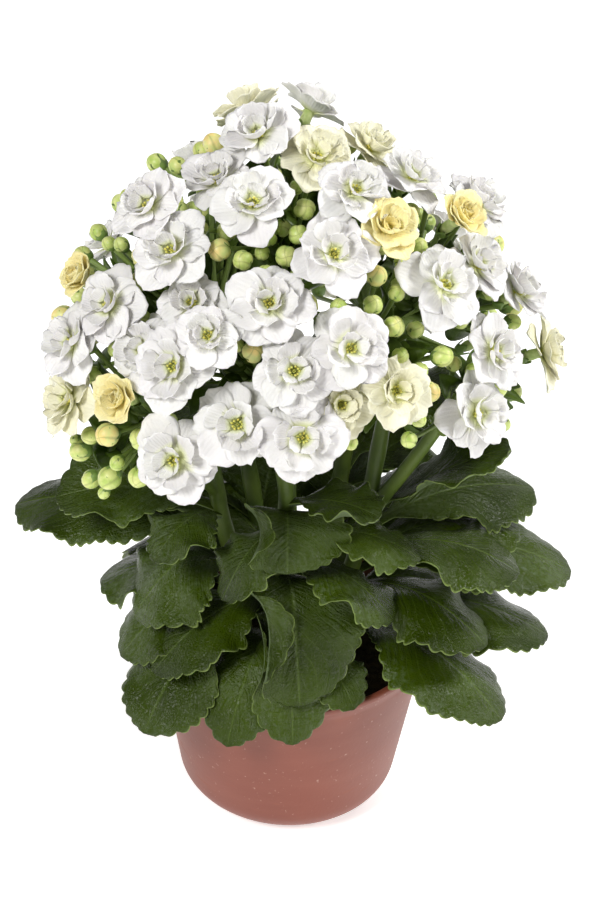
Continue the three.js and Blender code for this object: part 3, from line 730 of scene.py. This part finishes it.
SET_OUT = set_out_tree()
calyx = calyx_pattern()
SEPAL_FINISH = plain_skin(
    "sepal_green", 0.45, (SEPAL_GREEN, SEPAL_DARK), (260.0, 1500.0), 0.1, soft=(0.12, GREEN_GLOW)
)
for name in SHOOTS:
    marks = [(growth["seat"], growth["facing"], growth["calyx"], 0.0) for growth in growths(name)]
    calyces = grow(marks_piece(f"calyces_{name}", marks), SET_OUT, Pattern=calyx, Material=SEPAL_FINISH)
    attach(calyces, "root")
    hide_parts(f"shoot_{name}")
bpy.data.objects.remove(calyx)

# Bracts: a small soft leaf grows half way up each longer flower stalk. Together they close the head under
# its flowers.
BRACT_STEPS = 8
BRACT_ACROSS = 4
BRACT_MM = (11.0, 18.0)
BRACT_STALK_MM = 18
BRACT_PLACE = (0.3, 0.62)
BRACT_DROP = Vector((0, 0, -0.7))
BRACT_ASIDE = 0.75
BRACT_SEED = 29
BRACT_LIGHT = (0.075, 0.125, 0.010, 1)
BRACT_DARK = (0.030, 0.058, 0.004, 1)


def blade_faces(first, rings, across):
    """The faces of a closed blade, whose rings run across one of its sides and back across the other."""
    ring = 2 * (across + 1)
    faces = []
    for i in range(rings):
        a, b = first + i * ring, first + (i + 1) * ring
        faces += [(a + j, b + j, b + (j + 1) % ring, a + (j + 1) % ring) for j in range(ring)]
    for start, far in ((first, False), (first + rings * ring, True)):
        for j in range(across):
            quad = (start + j, start + j + 1, start + ring - 2 - j, start + ring - 1 - j)
            faces.append(quad[::-1] if far else quad)
    return faces


def ring_places(across):
    """The places round a blade's ring: whether each is on its way back, and its share from -1 to 1."""
    shares = [2 * j / across - 1 for j in range(across + 1)]
    return [(False, t) for t in shares] + [(True, -t) for t in shares]


def bract_pattern():
    """A small closed leaf, one unit long, that stands up along +Z and bends over towards +X."""
    points = []
    for share in (i / BRACT_STEPS for i in range(BRACT_STEPS + 1)):
        half = 0.03 + 0.27 * math.sin(math.pi * share**0.9) ** 0.7
        for below, t in ring_places(BRACT_ACROSS):
            thick = 0.05 * (1 - 0.6 * abs(t) ** 2)
            bow = 0.55 * share**2 - 0.5 * half * t * t + (thick / 2 if below else -thick / 2)
            points.append((bow, t * half, 0.85 * share))
    return mesh_piece("bract_pattern", points, blade_faces(0, BRACT_STEPS, BRACT_ACROSS), 1)


bract = bract_pattern()
BRACT_FINISH = plain_skin("bract_green", 0.4, (BRACT_LIGHT, BRACT_DARK), (60.0, 1100.0), 0.15, specular=0.3)
bract_draw = random.Random(BRACT_SEED)
for name in SHOOTS:
    marks = []
    for growth in growths(name):
        stalk = growth["foot"] - growth["root"]
        if stalk.length > BRACT_STALK_MM:
            seat = growth["root"].lerp(growth["foot"], bract_draw.uniform(*BRACT_PLACE)) + BRACT_DROP
            aside = Vector([bract_draw.uniform(-1, 1) for _ in range(3)])
            facing = (stalk.normalized() * 0.9 + aside * BRACT_ASIDE).normalized()
            marks.append((seat, facing, bract_draw.uniform(*BRACT_MM), 0.0))
    bracts = grow(marks_piece(f"bracts_{name}", marks), SET_OUT, Pattern=bract, Material=BRACT_FINISH)
    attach(bracts, "root")
    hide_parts(f"shoot_{name}")
bpy.data.objects.remove(bract)

# Buds: tight round buttons, whose four petals are still rolled over each other. They start green, and turn
# yellow before they open.
BUD_AROUND = 20
BUD_UP = 11
BUD_TWIST = 0.9
BUD_POINT = 1.08
BUD_GREEN = (0.45, 0.60, 0.12, 1)
BUD_PALE = (0.72, 0.78, 0.30, 1)
BUD_YELLOW = (0.90, 0.74, 0.29, 1)
BUD_BLUSH = (0.86, 0.55, 0.17, 1)
BUD_SEAM = (0.25, 0.30, 0.07, 1)


def bud_pattern():
    """A ball, one unit in radius and a little pointed, with four seams that curl together at its tip."""
    points = [(0, 0, -1.0)]
    seams = [0.0]
    for polar in (math.pi * j / BUD_UP for j in range(1, BUD_UP)):
        height = -math.cos(polar) * (BUD_POINT if polar > math.pi / 2 else 1)
        for angle in (FULL_TURN * k / BUD_AROUND for k in range(BUD_AROUND)):
            bulge = abs(math.sin(2 * angle)) ** 0.5
            girth = math.sin(polar) * (0.90 + 0.12 * bulge * math.sin(polar))
            twist = angle + BUD_TWIST * (polar / math.pi) ** 2
            points.append((girth * math.cos(twist), girth * math.sin(twist), height))
            seams.append(1 - bulge)
    points.append((0, 0, 1.02))
    seams.append(1.0)
    pattern = mesh_piece("bud_pattern", points, capped_faces(BUD_UP - 1, BUD_AROUND), 1)
    store(pattern, seam=seams, tip=[max(p[2], 0.0) for p in points])
    return pattern


def bud_material():
    material, tree, surface, coordinates = new_material("bud_skin", 0.38, (0.2, (0.003, 0.003, 0.001)))
    green = mottled(coordinates, BUD_PALE, BUD_GREEN, 330.0, 1600.0)
    yellow = mottled(coordinates, BUD_YELLOW, BUD_PALE, 330.0, 1600.0)
    tint = named_value(tree, "tint")
    colour = mixed(tint, green["Colour"], yellow["Colour"])
    blush = ranged(named_value(tree, "tip"), 0.75, 1.05, 0.0, 0.5) * tint
    colour = mixed(blush, colour, BUD_BLUSH)
    colour = mixed(ranged(named_value(tree, "seam"), 0.5, 1.0, 0.0, 0.5), colour, BUD_SEAM)
    finish_surface(surface, colour, green["Grain"], 0.08)
    return material


bud_shape = bud_pattern()
BUD_FINISH = bud_material()
for name in SHOOTS:
    own = [bud for bud in buds if bud["shoot"] == name]
    marks = [(bud["foot"], bud["facing"], bud["size"] / 2, bud["yellow"]) for bud in own]
    cluster = grow(marks_piece(f"buds_{name}", marks), SET_OUT, Pattern=bud_shape, Material=BUD_FINISH)
    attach(cluster, "root")
    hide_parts(f"shoot_{name}")
bpy.data.objects.remove(bud_shape)

# Leaves: fleshy, glossy and dark, with scalloped wavy margins. They grow from the stems on short stalks, the
# largest over the pot's rim and smaller ones up into the flowers.
LEAF_THICKNESS = 1.7
LEAF_EDGE = 0.8
LEAF_STALK = 3.0
LEAF_STEPS = 92
LEAF_ACROSS = 16
WAVE = 3.4
RUFFLE = 3.0
WAVE_TURNS = 9.0
PUCKER = 0.3
RIB_GROOVE = 0.9
BREADTH = 1.13
STALK_SHARE = 0.12
STALK_HALF = 2.2
BROADEST = 0.6
LOBE_MM = 5.6
LOBE_DEPTH = 1.7
CURL_START = 0.16
CURL_SPAN = 0.22
LEAF_GREEN = (0.048, 0.080, 0.001, 1)
LEAF_DARK = (0.021, 0.037, 0.0005, 1)
LEAF_UNDER = (0.135, 0.180, 0.085, 1)
LEAF_UNDER_DARK = (0.090, 0.125, 0.050, 1)
# The grey-silver of the painted sheen patches, which stand in for highlights on the glossy leaves
LEAF_PAINTED_SHEEN = (0.25, 0.31, 0.22, 1)
LEAF_VEIN = (0.110, 0.165, 0.030, 1)
LEAF_MARGIN = (0.235, 0.315, 0.080, 1)
LEAF_SOFT = (0.06, (0.001, 0.002, 0.0005))
LEAF_RELIEF_MM = 0.34
# Each row is the height at which a leaf grows, its tip, the arch of its midrib, its width, how far its
# margins turn up (or down, if negative), and its roll in degrees. Where a margin curls over, the row ends
# with its side, the share of the leaf's length where the curl is strongest, and the curl's angle.
LEAVES = {
    "front": [
        (76, -22, -61, 62, 40, 30, -3, -6), (94, 2, -61, 64, 38, 34, -3, -4, 1, 0.62, 130),
        (107, 4, -58, 80, 42, 50, -5, -4, 1, 0.68, 215), (99, -50, -43, 81, 22, 35, -3, 4),
        (133, -25, -43, 116, 18, 26, -3, 8), (142, -2, -44, 130, 20, 42, 4, -4, 1, 0.66, 165),
        (115, 37, -42, 108, 20, 33, -4, -16), (127, 46, -35, 131, 18, 26, -3, -10),
        (148, 30, -44, 156, 8, 24, 3, 0), (80, 24, -52, 74, 22, 26, -4, 0),
    ],
    "left": [
        (74, -53, -53, 60, 34, 40, -4, 2, -1, 0.5, 100), (85, -63, -28, 76, 28, 36, -4, 0),
        (103, -58, -24, 92, 32, 44, -5, 4), (112, -106, 16, 112, 26, 38, -4, -10),
        (130, -50, -40, 130, 18, 26, -3, 12), (134, -88, -14, 138, 14, 32, 4, -14),
        (93, -73, 6, 86, 18, 34, -4, 0), (120, -62, 24, 132, 14, 34, -3, 0),
    ],
    "right": [
        (75, 79, -47, 67, 28, 44, -5, -12), (81, 97, -12, 80, 26, 40, -4, -6),
        (97, 72, -36, 93, 22, 36, -5, -8), (104, 105, 4, 99, 28, 38, -4, 8),
        (114, 83, -25, 119, 22, 42, -4, -10), (127, 90, 26, 121, 18, 34, -3, 10),
        (136, 77, -18, 170, 6, 28, 4, 0), (90, 62, -8, 92, 22, 40, -4, 0), (112, 84, 8, 116, 20, 38, -4, 0),
    ],
    "top": [
        (158, -36, -2, 168, 10, 28, 3, 0), (170, -36, 18, 184, 8, 30, 3, 0), (176, 26, 26, 186, 8, 30, 3, 0),
        (92, -34, 30, 112, 10, 36, -3, 0), (88, 40, 26, 112, 10, 38, -3, 0),
    ],
    "back_right": [
        (82, 66, 58, 62, 34, 42, -5, 0), (93, 10, 90, 78, 34, 42, -5, 6), (107, 84, 46, 104, 26, 38, -4, 0),
        (127, 50, 72, 126, 22, 38, -4, 0), (144, 66, 40, 156, 14, 32, 3, 0),
        (104, 18, 60, 128, 14, 40, -3, 0), (118, 46, 34, 140, 8, 26, 3, 0),
    ],
    "back_left": [
        (82, -62, 60, 62, 34, 42, -5, 0), (93, -36, 82, 76, 34, 42, -5, 0),
        (107, -86, 48, 102, 26, 38, -4, 0), (127, -50, 74, 126, 22, 38, -4, 0),
        (144, -66, 44, 154, 14, 34, 3, 0), (138, 2, 78, 146, 16, 34, -3, 0),
        (100, -8, 48, 118, 12, 38, -3, 0),
    ],
}


def stem_point(name, height):
    """The point of a stem at a height."""
    line = stem_line(name)
    for low, high in zip(line, line[1:]):
        if high.z > height:
            return low.lerp(high, (height - low.z) / (high.z - low.z))
    return line[-1]


def leaf_half(share, width):
    """Half the width of a blade at a share of its length: a narrow stalk, then broad up to a blunt end."""
    blade = min(max((share - STALK_SHARE) / (1 - STALK_SHARE), 0), 1)
    if blade < BROADEST:
        grown = math.sin(math.pi / 2 * blade / BROADEST) ** 1.05
    else:
        grown = (1 - ((blade - BROADEST) / (1 - BROADEST)) ** 2.3) ** 0.5
    return max(STALK_HALF if share < 0.5 else 0.25, width / 2 * grown)


def scallops(shares, length, width, phase):
    """For each share of a blade's length, how far its scalloped margin steps back, inwards and along."""
    halves = np.array([leaf_half(share, width) for share in shares])
    along = np.gradient(np.array(shares) * length)
    outward = np.gradient(halves)
    steps = np.hypot(along, outward) + 1e-6
    run = np.cumsum(steps)
    lobe = np.abs(np.sin(np.pi * run / LOBE_MM + phase + 1.1 * np.sin(0.11 * run + 2 * phase))) ** 0.8
    depth = LOBE_DEPTH * (1 - lobe) * np.clip((np.array(shares) - 0.22) * 7, 0, 1)
    depth = np.minimum(depth, 0.4 * halves)
    return depth * along / steps, -depth * outward / steps


def add_leaf(points, faces, values, name, row):
    """Adds one closed leaf, with its share along and across, and whether a point is on its underside."""
    at, x, y, z, arch, width, cup, roll, *curl = row
    width *= BREADTH
    foot = stem_point(name, at)
    tip = Vector((x, y, z))
    middle = (foot + tip) / 2 + Vector((0, 0, arch))
    side = (tip - foot).cross(Vector((0, 0, 1))).normalized()
    length = ((middle - foot).length + (tip - middle).length + (tip - foot).length) / 2
    shares = [1 - (1 - i / LEAF_STEPS) ** 1.3 for i in range(LEAF_STEPS + 1)]
    margins = {hand: scallops(shares, length, width, x + hand) for hand in (-1, 1)}
    faces += blade_faces(len(points), LEAF_STEPS, LEAF_ACROSS)
    for i, share in enumerate(shares):
        rib = foot.lerp(middle, share).lerp(middle.lerp(tip, share), share)
        along = (middle.lerp(tip, share) - foot.lerp(middle, share)).normalized()
        across = Matrix.Rotation(math.radians(roll), 3, along) @ side
        upper = across.cross(along).normalized()
        half = leaf_half(share, width)
        body = LEAF_THICKNESS + (LEAF_STALK - LEAF_THICKNESS) * math.exp(-((share / 0.2) ** 2))
        for above, even in ring_places(LEAF_ACROSS):
            t = math.copysign(abs(even) ** 0.8, even)
            hand = 1 if t > 0 else -1
            inwards, backwards = (margins[hand][k][i] * abs(t) ** 4 for k in (0, 1))
            s = t * half - hand * inwards
            spread = abs(s) / (width / 2)
            phase = 2 if hand > 0 else 0
            n = spread**2 * (cup + WAVE * math.sin(WAVE_TURNS * share + phase + x))
            n += RUFFLE * spread**3 * math.sin(2.3 * WAVE_TURNS * share + 1.7 * phase + y)
            n += PUCKER * math.sin(5.5 * t + 21 * share + x) * min(spread * 2, 1) * (1 - abs(t) ** 4)
            n -= RIB_GROOVE * math.exp(-((s / 2.2) ** 2)) * min(share * 4, 1) * (1 - share)
            if curl and hand == curl[0]:
                bend = math.radians(curl[2]) * math.exp(-(((share - curl[1]) / CURL_SPAN) ** 2))
                flat = CURL_START * half
                if abs(s) > flat and bend > 0.05:
                    radius = (1 - CURL_START) * half / bend
                    turn = (abs(s) - flat) / radius
                    s = hand * (flat + radius * math.sin(turn))
                    n += radius * (1 - math.cos(turn))
            thick = LEAF_EDGE + (body - LEAF_EDGE) * (1 - abs(t) ** 2.5)
            thick *= 0.35 if abs(t) > 0.995 else 1.0
            rise = thick / 2 if above else -thick / 2
            points.append(rib + across * s + upper * (n + rise) - along * backwards)
            values.append((share, t, 0.0 if above else 1.0))


def leaf_material():
    """Dark mottled skin with pale veins and margins, a fan of creases and patches of painted silver sheen.
    """
    material, tree, surface, coordinates = new_material("leaf_skin", 0.34, LEAF_SOFT, 0.24)
    along = named_value(tree, "along")
    across = named_value(tree, "across")
    below = named_value(tree, "below")
    spread = across.step("ABSOLUTE")
    tones = mottled(coordinates, LEAF_GREEN, LEAF_DARK, 26.0, 1100.0)
    slant = along * 11.0 - spread * 4.2
    drift = noise_mask(coordinates, 70.0, 0.0, 1.0, 2.0)
    side_veins = ranged((slant + drift).step("PINGPONG", 0.5), 0.0, 0.06, 1.0, 0.0)
    veins = ranged(spread, 0.0, 0.045, 1.0, 0.0).step("MAXIMUM", side_veins * 0.4)
    colour = mixed(veins * 0.55, tones["Colour"], LEAF_VEIN)
    fanned = node(tree, "ShaderNodeCombineXYZ", X=(slant + drift * 1.6) * 1.9, Y=across, Z=drift)
    creases = noise_mask(fanned, 1.5, 0.3, 0.7, 5.0)
    # Painted sheen: broken grey-silver patches are lightened into the colour, in place of the leaves' grainy
    # highlights.
    sheen_patches = noise_mask(coordinates, 27.0, 0.45, 0.64, 3.0)
    flecks = noise_mask(coordinates, 560.0, 0.40, 0.66, 3.0)
    colour = mixed(sheen_patches * (flecks * creases) * 0.3, colour, LEAF_PAINTED_SHEEN)
    under = mottled(coordinates, LEAF_UNDER, LEAF_UNDER_DARK, 45.0, 1300.0)
    colour = mixed(below, colour, mixed(veins * 0.35, under["Colour"], LEAF_MARGIN))
    colour = mixed(ranged(spread, 0.97, 0.995, 0.0, 0.7), colour, LEAF_MARGIN)
    gloss = ranged(noise_mask(coordinates, 38.0, 0.35, 0.65, 5.0), 0.0, 1.0, 0.17, 0.33)
    feed(surface["Roughness"], gloss + ranged(below, 0.0, 1.0, 0.0, 0.24))
    edges = {"feature": "DISTANCE_TO_EDGE"}
    cells = node(tree, "ShaderNodeTexVoronoi", edges, Scale=800.0, Vector=coordinates)
    net = ranged(cells, 0.0, 0.28, 0.0, 1.0)
    puckers = noise_mask(coordinates, 260.0, 0.2, 0.8, 3.0)
    relief = net * 0.35 + puckers * 0.95 + creases - veins * 0.9 + tones["Grain"] * 0.45
    finish_surface(surface, colour, relief, LEAF_RELIEF_MM)
    return material


LEAF_FINISH = leaf_material()
for name, rows in LEAVES.items():
    points, faces, values = [], [], []
    for row in rows:
        add_leaf(points, faces, values, name, row)
    foliage = mesh_piece(f"leaves_{name}", points, faces)
    along, across, below = zip(*values)
    store(foliage, along=along, across=across, below=below)
    foliage.data.materials.append(LEAF_FINISH)
    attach(foliage, "root")
    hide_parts(f"shoot_{name}")

# Blooms: each double flower is a short tube with whorls of four petals, each turned by half a petal from the
# one below. The outer ones are broad and flat, and the inner ones small and cupped round the stamens.
PETALS = 4
WHORLS = 4
PETAL_STEPS = 9
PETAL_HALF = 0.46
PETAL_FOOT_HALF = 0.10
PETAL_ACROSS = 8
PETAL_THICKNESS = 0.045
PETAL_TURN_DRAW = 0.2
PETAL_TILT_DRAW = (-0.19, 0.17)
PETAL_ROLL_DRAW = 0.24
PETAL_SIZE_DRAW = (0.88, 1.05)
INNER_SHRINK = 0.52
WHORL_RISE = 0.6
# Where each kind of petal starts and how far it is cupped, and the first whorl of the cupped kind
BROAD = (0.10, 0.2)
CUPPED = (0.32, 0.8)
CUPPED_FROM = 2
SHAPES = 3
STAMENS = 9
TURN_STEP = 37
REACH_SHUT = 0.375
REACH_OPEN = 0.5
REACH_MORE = 1.12
TIGHT = 0.6
TIGHT_MORE = 1.2
OUTER_TILT = -3
OUTER_TILT_MORE = 60
INNER_TILT = 30
INNER_TILT_MORE = 44
STAMEN_SEED = 12
BROAD_SEED = 20
CUPPED_SEED = 40
BLOOM_SEED = 31
TUBE_PALE = (0.62, 0.68, 0.32, 1)
TUBE_GREEN = (0.38, 0.50, 0.14, 1)
ANTHER_YELLOW = (0.86, 0.74, 0.16, 1)
ANTHER_GREEN = (0.60, 0.66, 0.16, 1)
PETAL_SOFT = (0.25, (0.003, 0.003, 0.0025))
# Each kind has a light and a shaded tone, its throat's and a shadow tint, painted on its petals at random
PETAL_TONES = {
    "white": ((0.90, 0.895, 0.865, 1), (0.83, 0.82, 0.79, 1), (0.70, 0.74, 0.36, 1), (0.80, 0.75, 0.79, 1)),
    "cream": ((0.91, 0.89, 0.71, 1), (0.86, 0.83, 0.62, 1), (0.70, 0.72, 0.30, 1), (0.86, 0.83, 0.62, 1)),
    "yellow": ((0.95, 0.89, 0.53, 1), (0.93, 0.81, 0.38, 1), (0.88, 0.72, 0.20, 1), (0.93, 0.81, 0.38, 1)),
}


def petal_pattern(name, seed, base, cupping):
    """A broad petal along +X, one unit long and facing +Z, closed all round, with an uneven rounded tip."""
    draw = random.Random(seed)
    ripple = [draw.uniform(0, 6.28) for _ in range(4)]
    lean = draw.uniform(-0.05, 0.05)
    points, across, along = [], [], []
    for share in (i / PETAL_STEPS for i in range(PETAL_STEPS + 1)):
        grown = math.sin(math.pi / 2 * min(share / 0.62, 1)) ** 0.85
        grown *= 1 - 0.22 * max((share - 0.62) / 0.38, 0) ** 2
        half = PETAL_FOOT_HALF + (PETAL_HALF - PETAL_FOOT_HALF) * grown
        for below, t in ring_places(PETAL_ACROSS):
            jag = 0.022 * math.sin(8 * t + ripple[0]) + 0.02 * math.sin(15 * t + ripple[1])
            x = base + (1 - base) * share * (1 - 0.24 * t * t * share**2) + jag * share**5
            z = cupping * (0.50 * t * t * half + 0.34 * share**1.6) - 0.12 * share**3 * (1 - cupping)
            z += 0.03 * math.sin(5 * t + ripple[2]) * share**2
            z += 0.02 * math.sin(9 * share + ripple[3]) * abs(t)
            z += 0.07 * (1 - cupping) * t * t * share
            z -= 0.025 * math.exp(-((t / 0.2) ** 2)) * share
            thick = PETAL_THICKNESS * (1 - 0.55 * abs(t) ** 3) * (1 - 0.4 * share)
            points.append((x, t * half + lean * share**2, z + (-thick / 2 if below else thick / 2)))
            across.append(t)
            along.append(share)
    pattern = mesh_piece(name, points, blade_faces(0, PETAL_STEPS, PETAL_ACROSS), 1)
    store(pattern, across=across, along=along)
    return pattern


def petal_material(name, light, shade, throat, shadow_tint):
    """Soft petals with fine ribs along them and a green or golden throat."""
    material, tree, surface, coordinates = new_material(f"petal_{name}", 0.55, PETAL_SOFT)
    tones = mottled(coordinates, light, shade, 130.0, 1900.0)
    ribs = (named_value(tree, "across") * 5.0).step("PINGPONG", 0.5)
    colour = mixed(ranged(ribs, 0.0, 0.14, 0.22, 0.0), tones["Colour"], shade)
    # Painted shade: each petal is darkened by a random amount towards the greyer shadow tint.
    colour = mixed(named_value(tree, "tint") * 0.35, colour, shadow_tint)
    colour = mixed(ranged(named_value(tree, "along"), 0.05, 0.36, 0.95, 0.0), colour, throat)
    finish_surface(surface, colour, ribs * 1.2 + tones["Grain"], 0.14)
    return material


def stamen_bit(outline, angle, out, lean):
    """A little turned rod that leans away from the middle of the bloom."""
    rod = turned("rod", outline, 6)
    rod.data.transform(Matrix.Rotation(lean, 4, "Y"))
    rod.data.transform(Matrix.Translation((out * MM, 0, 0)))
    rod.data.transform(Matrix.Rotation(angle, 4, "Z"))
    return rod


def heart_pattern():
    """The tube, with the styles and a ring of stamens over its mouth. The bloom's eye is at the origin."""
    tube = [(0, -7), (1.5, -7), (2.1, -4.5), (1.9, -2), (2.3, -0.6), (1.2, -0.2), (0, -0.6)]
    parts = [turned("tube", tube, 16)]
    tube_faces = len(parts[0].data.polygons)
    draw = random.Random(STAMEN_SEED)
    for k in range(STAMENS):
        top = 1.9 + draw.uniform(-0.3, 0.4)
        thread = [(0, -0.7), (0.17, -0.6), (0.14, top - 0.5)]
        anther = [(0.5, top - 0.2), (0.45, top + 0.4), (0, top + 0.6)]
        angle = FULL_TURN * k / STAMENS + draw.uniform(-0.2, 0.2)
        parts.append(stamen_bit(thread + anther, angle, 0.95, 0.30 if k % 2 else 0.45))
    for k in range(PETALS):
        style = [(0, -0.9), (0.3, -0.8), (0.26, 1.2), (0, 1.9)]
        parts.append(stamen_bit(style, FULL_TURN * k / PETALS, 0.3, 0.12))
    joined = bmesh.new()
    for part in parts:
        joined.from_mesh(part.data)
        bpy.data.objects.remove(part)
    heart = mesh_piece("heart_pattern", [], [])
    joined.to_mesh(heart.data)
    joined.free()
    heart.data.materials.append(plain_skin("tube_green", 0.5, (TUBE_PALE, TUBE_GREEN), (300.0, 1900.0), 0.1))
    anther_tones = (ANTHER_YELLOW, ANTHER_GREEN)
    heart.data.materials.append(plain_skin("anther_yellow", 0.6, anther_tones, (900.0, 2500.0), 0.1))
    for face in list(heart.data.polygons)[tube_faces:]:
        face.material_index = 1
    return heart


def whorl_tree():
    """Whorls of petals that shorten and rise towards the eye, on the heart of the bloom, put in place."""
    inputs = {
        "Broad": "Object", "Cupped": "Object", "Heart": "Object", "Petals": "Int", "Whorls": "Int",
        "Reach": "Float", "Outer tilt": "Float", "Inner tilt": "Float", "Turn": "Float", "Seed": "Int",
        "Centre": "Vector", "Facing": "Vector", "Material": "Material",
    }
    tree, given, result = shape_tree("whorls", inputs)
    petals, whorls, seed = given["Petals"], given["Whorls"], given["Seed"]
    spots = node(tree, "GeometryNodePoints", Count=petals * whorls)
    index = node(tree, "GeometryNodeInputIndex")
    whorl = ((index + 0.1) / petals).step("FLOOR")
    share = whorl / (whorls - 1.0)
    angle = (index + (whorl + 1.0) * 0.5) * FULL_TURN / petals + given["Turn"]
    angle = angle + random_value(tree, -PETAL_TURN_DRAW, PETAL_TURN_DRAW, seed)
    tilt = given["Outer tilt"] + (given["Inner tilt"] - given["Outer tilt"]) * share.step("POWER", 1.35)
    tilt = tilt + random_value(tree, *PETAL_TILT_DRAW, seed + 7.0)
    roll = random_value(tree, -PETAL_ROLL_DRAW, PETAL_ROLL_DRAW, seed + 11.0)
    turn = node(tree, "ShaderNodeCombineXYZ", X=roll, Y=tilt * -1.0, Z=angle)
    size = given["Reach"] * (share.step("POWER", 1.4) * -INNER_SHRINK + 1.0)
    size = size * random_value(tree, *PETAL_SIZE_DRAW, seed + 3.0)
    rise = node(tree, "ShaderNodeCombineXYZ", Z=(whorl - 1.0) * (WHORL_RISE * MM))
    raised = node(tree, "GeometryNodeSetPosition", Geometry=spots, Position=rise)
    parts = []
    for label, side in (("Broad", "LESS_THAN"), ("Cupped", "GREATER_THAN")):
        copies = node(
            tree, "GeometryNodeInstanceOnPoints", Points=raised, Instance=shape_of(given[label]),
            Selection=whorl.step(side, CUPPED_FROM - 0.5), Rotation=turn, Scale=size,
        )
        tinted = node(
            tree, "GeometryNodeStoreNamedAttribute", {"data_type": "FLOAT", "domain": "INSTANCE"},
            Geometry=copies, Name="tint", Value=random_value(tree, 0.0, 1.0, seed + 19.0),
        )
        real = node(tree, "GeometryNodeRealizeInstances", Geometry=tinted)
        parts.append(node(tree, "GeometryNodeSetMaterial", Geometry=real, Material=given["Material"]))
    flower = together(*parts, shape_of(given["Heart"]))
    facing = node(tree, "FunctionNodeAlignRotationToVector", {"axis": "Z"}, Vector=given["Facing"])
    placed = node(
        tree, "GeometryNodeTransform", Geometry=flower, Translation=given["Centre"], Rotation=facing
    )
    smooth = node(tree, "GeometryNodeSetShadeSmooth", Geometry=placed)
    feed(result[0], node(tree, "GeometryNodeRealizeInstances", Geometry=smooth))
    return tree


WHORL_TREE = whorl_tree()
broad = [petal_pattern(f"broad_{k}", BROAD_SEED + k, *BROAD) for k in range(SHAPES)]
cupped = [petal_pattern(f"cupped_{k}", CUPPED_SEED + k, *CUPPED) for k in range(SHAPES)]
heart = heart_pattern()
finishes = {name: petal_material(name, *tones) for name, tones in PETAL_TONES.items()}
for bloom in blooms:
    number, openness = bloom["number"], bloom["open"]
    reach = bloom["size"] * (REACH_SHUT + (REACH_OPEN - REACH_SHUT) * openness)
    reach *= TIGHT_MORE if openness < TIGHT else REACH_MORE
    outer_tilt = math.radians(OUTER_TILT + OUTER_TILT_MORE * (1 - openness))
    inner_tilt = math.radians(INNER_TILT + INNER_TILT_MORE * (1 - openness))
    piece = grow(
        mesh_piece(f"double_bloom_{number:02d}", [], []), WHORL_TREE,
        Broad=broad[number % SHAPES], Cupped=cupped[number % SHAPES], Heart=heart,
        Petals=PETALS, Whorls=WHORLS, Reach=reach / math.cos(outer_tilt) ** 0.9 * MM,
        Outer_tilt=outer_tilt, Inner_tilt=inner_tilt,
        Turn=math.radians(TURN_STEP * (number - 1)), Seed=number * BLOOM_SEED,
        Centre=bloom["eye"] * MM, Facing=bloom["facing"], Material=finishes[bloom["colour"]],
    )
    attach(piece, "root")
    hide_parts(f"bloom_{number:02d}")
for pattern in (*broad, *cupped, heart):
    bpy.data.objects.remove(pattern)

# Studio: a pale seamless floor of matt board under broad soft lamps, seen from the front and above. The
# floor glows a little, so that it stays white up to the horizon.
FLOOR_SIZE = 30.0
FLOOR_PALE = (0.90, 0.90, 0.89, 1)
FLOOR_SHADE = (0.885, 0.885, 0.875, 1)
FLOOR_GLOW = 0.55
SKY_STRENGTH = 0.2
WHITE = (1, 1, 1, 1)
VIEW_ELEVATION = math.radians(35)
VIEW_DISTANCE = 1.150
VIEW_TARGET = Vector((0.001, 0, 0.154))
VIEW_ROLL = 0.035
LENS_MM = 124.9
# Each lamp's name, its place, its width and its power
LAMPS = [
    ("key", (-0.75, -0.95, 1.2), 0.55, 16.5),
    ("fill", (1.15, -0.45, 0.8), 0.45, 5.5),
    ("top", (0.80, 0.20, 1.1), 0.35, 9.5),
]

corners = [(-1, -1, 0), (1, -1, 0), (1, 1, 0), (-1, 1, 0)]
floor = mesh_piece("floor", corners, [(0, 1, 2, 3)], FLOOR_SIZE / 2)
board, _, board_surface, board_place = new_material("floor_pale", 0.7)
board_tones = mottled(board_place, FLOOR_PALE, FLOOR_SHADE, 3.0, 60.0)
feed(board_surface["Base Color"], board_tones["Colour"])
board_surface["Emission Color"].default_value = WHITE
board_surface["Emission Strength"].default_value = FLOOR_GLOW
floor.data.materials.append(board)

for name, place, width, power in LAMPS:
    lamp = bpy.data.lights.new(name, "AREA")
    lamp.shape = "DISK"
    lamp.size = width
    lamp.energy = power
    holder = bpy.data.objects.new(name, lamp)
    holder.location = place
    holder.rotation_euler = (VIEW_TARGET - Vector(place)).to_track_quat("-Z", "Y").to_euler()
    bpy.context.scene.collection.objects.link(holder)

sky = bpy.data.worlds.new("studio_white")
sky.use_nodes = True
sky.node_tree.nodes["Background"].inputs["Color"].default_value = WHITE
sky.node_tree.nodes["Background"].inputs["Strength"].default_value = SKY_STRENGTH
bpy.context.scene.world = sky
bpy.context.scene.view_settings.view_transform = "Standard"

lens = bpy.data.cameras.new("camera")
lens.lens = LENS_MM
camera = bpy.data.objects.new("camera", lens)
back = Vector((0, -math.cos(VIEW_ELEVATION), math.sin(VIEW_ELEVATION)))
up = Vector((0, math.sin(VIEW_ELEVATION), math.cos(VIEW_ELEVATION)))
level = Vector((1, 0, 0))
right = level * math.cos(VIEW_ROLL) + up * math.sin(VIEW_ROLL)
above = up * math.cos(VIEW_ROLL) - level * math.sin(VIEW_ROLL)
turned_to = Matrix((right, above, back)).transposed().to_4x4()
camera.matrix_world = Matrix.Translation(VIEW_TARGET + back * VIEW_DISTANCE) @ turned_to
bpy.context.scene.collection.objects.link(camera)
bpy.context.scene.camera = camera
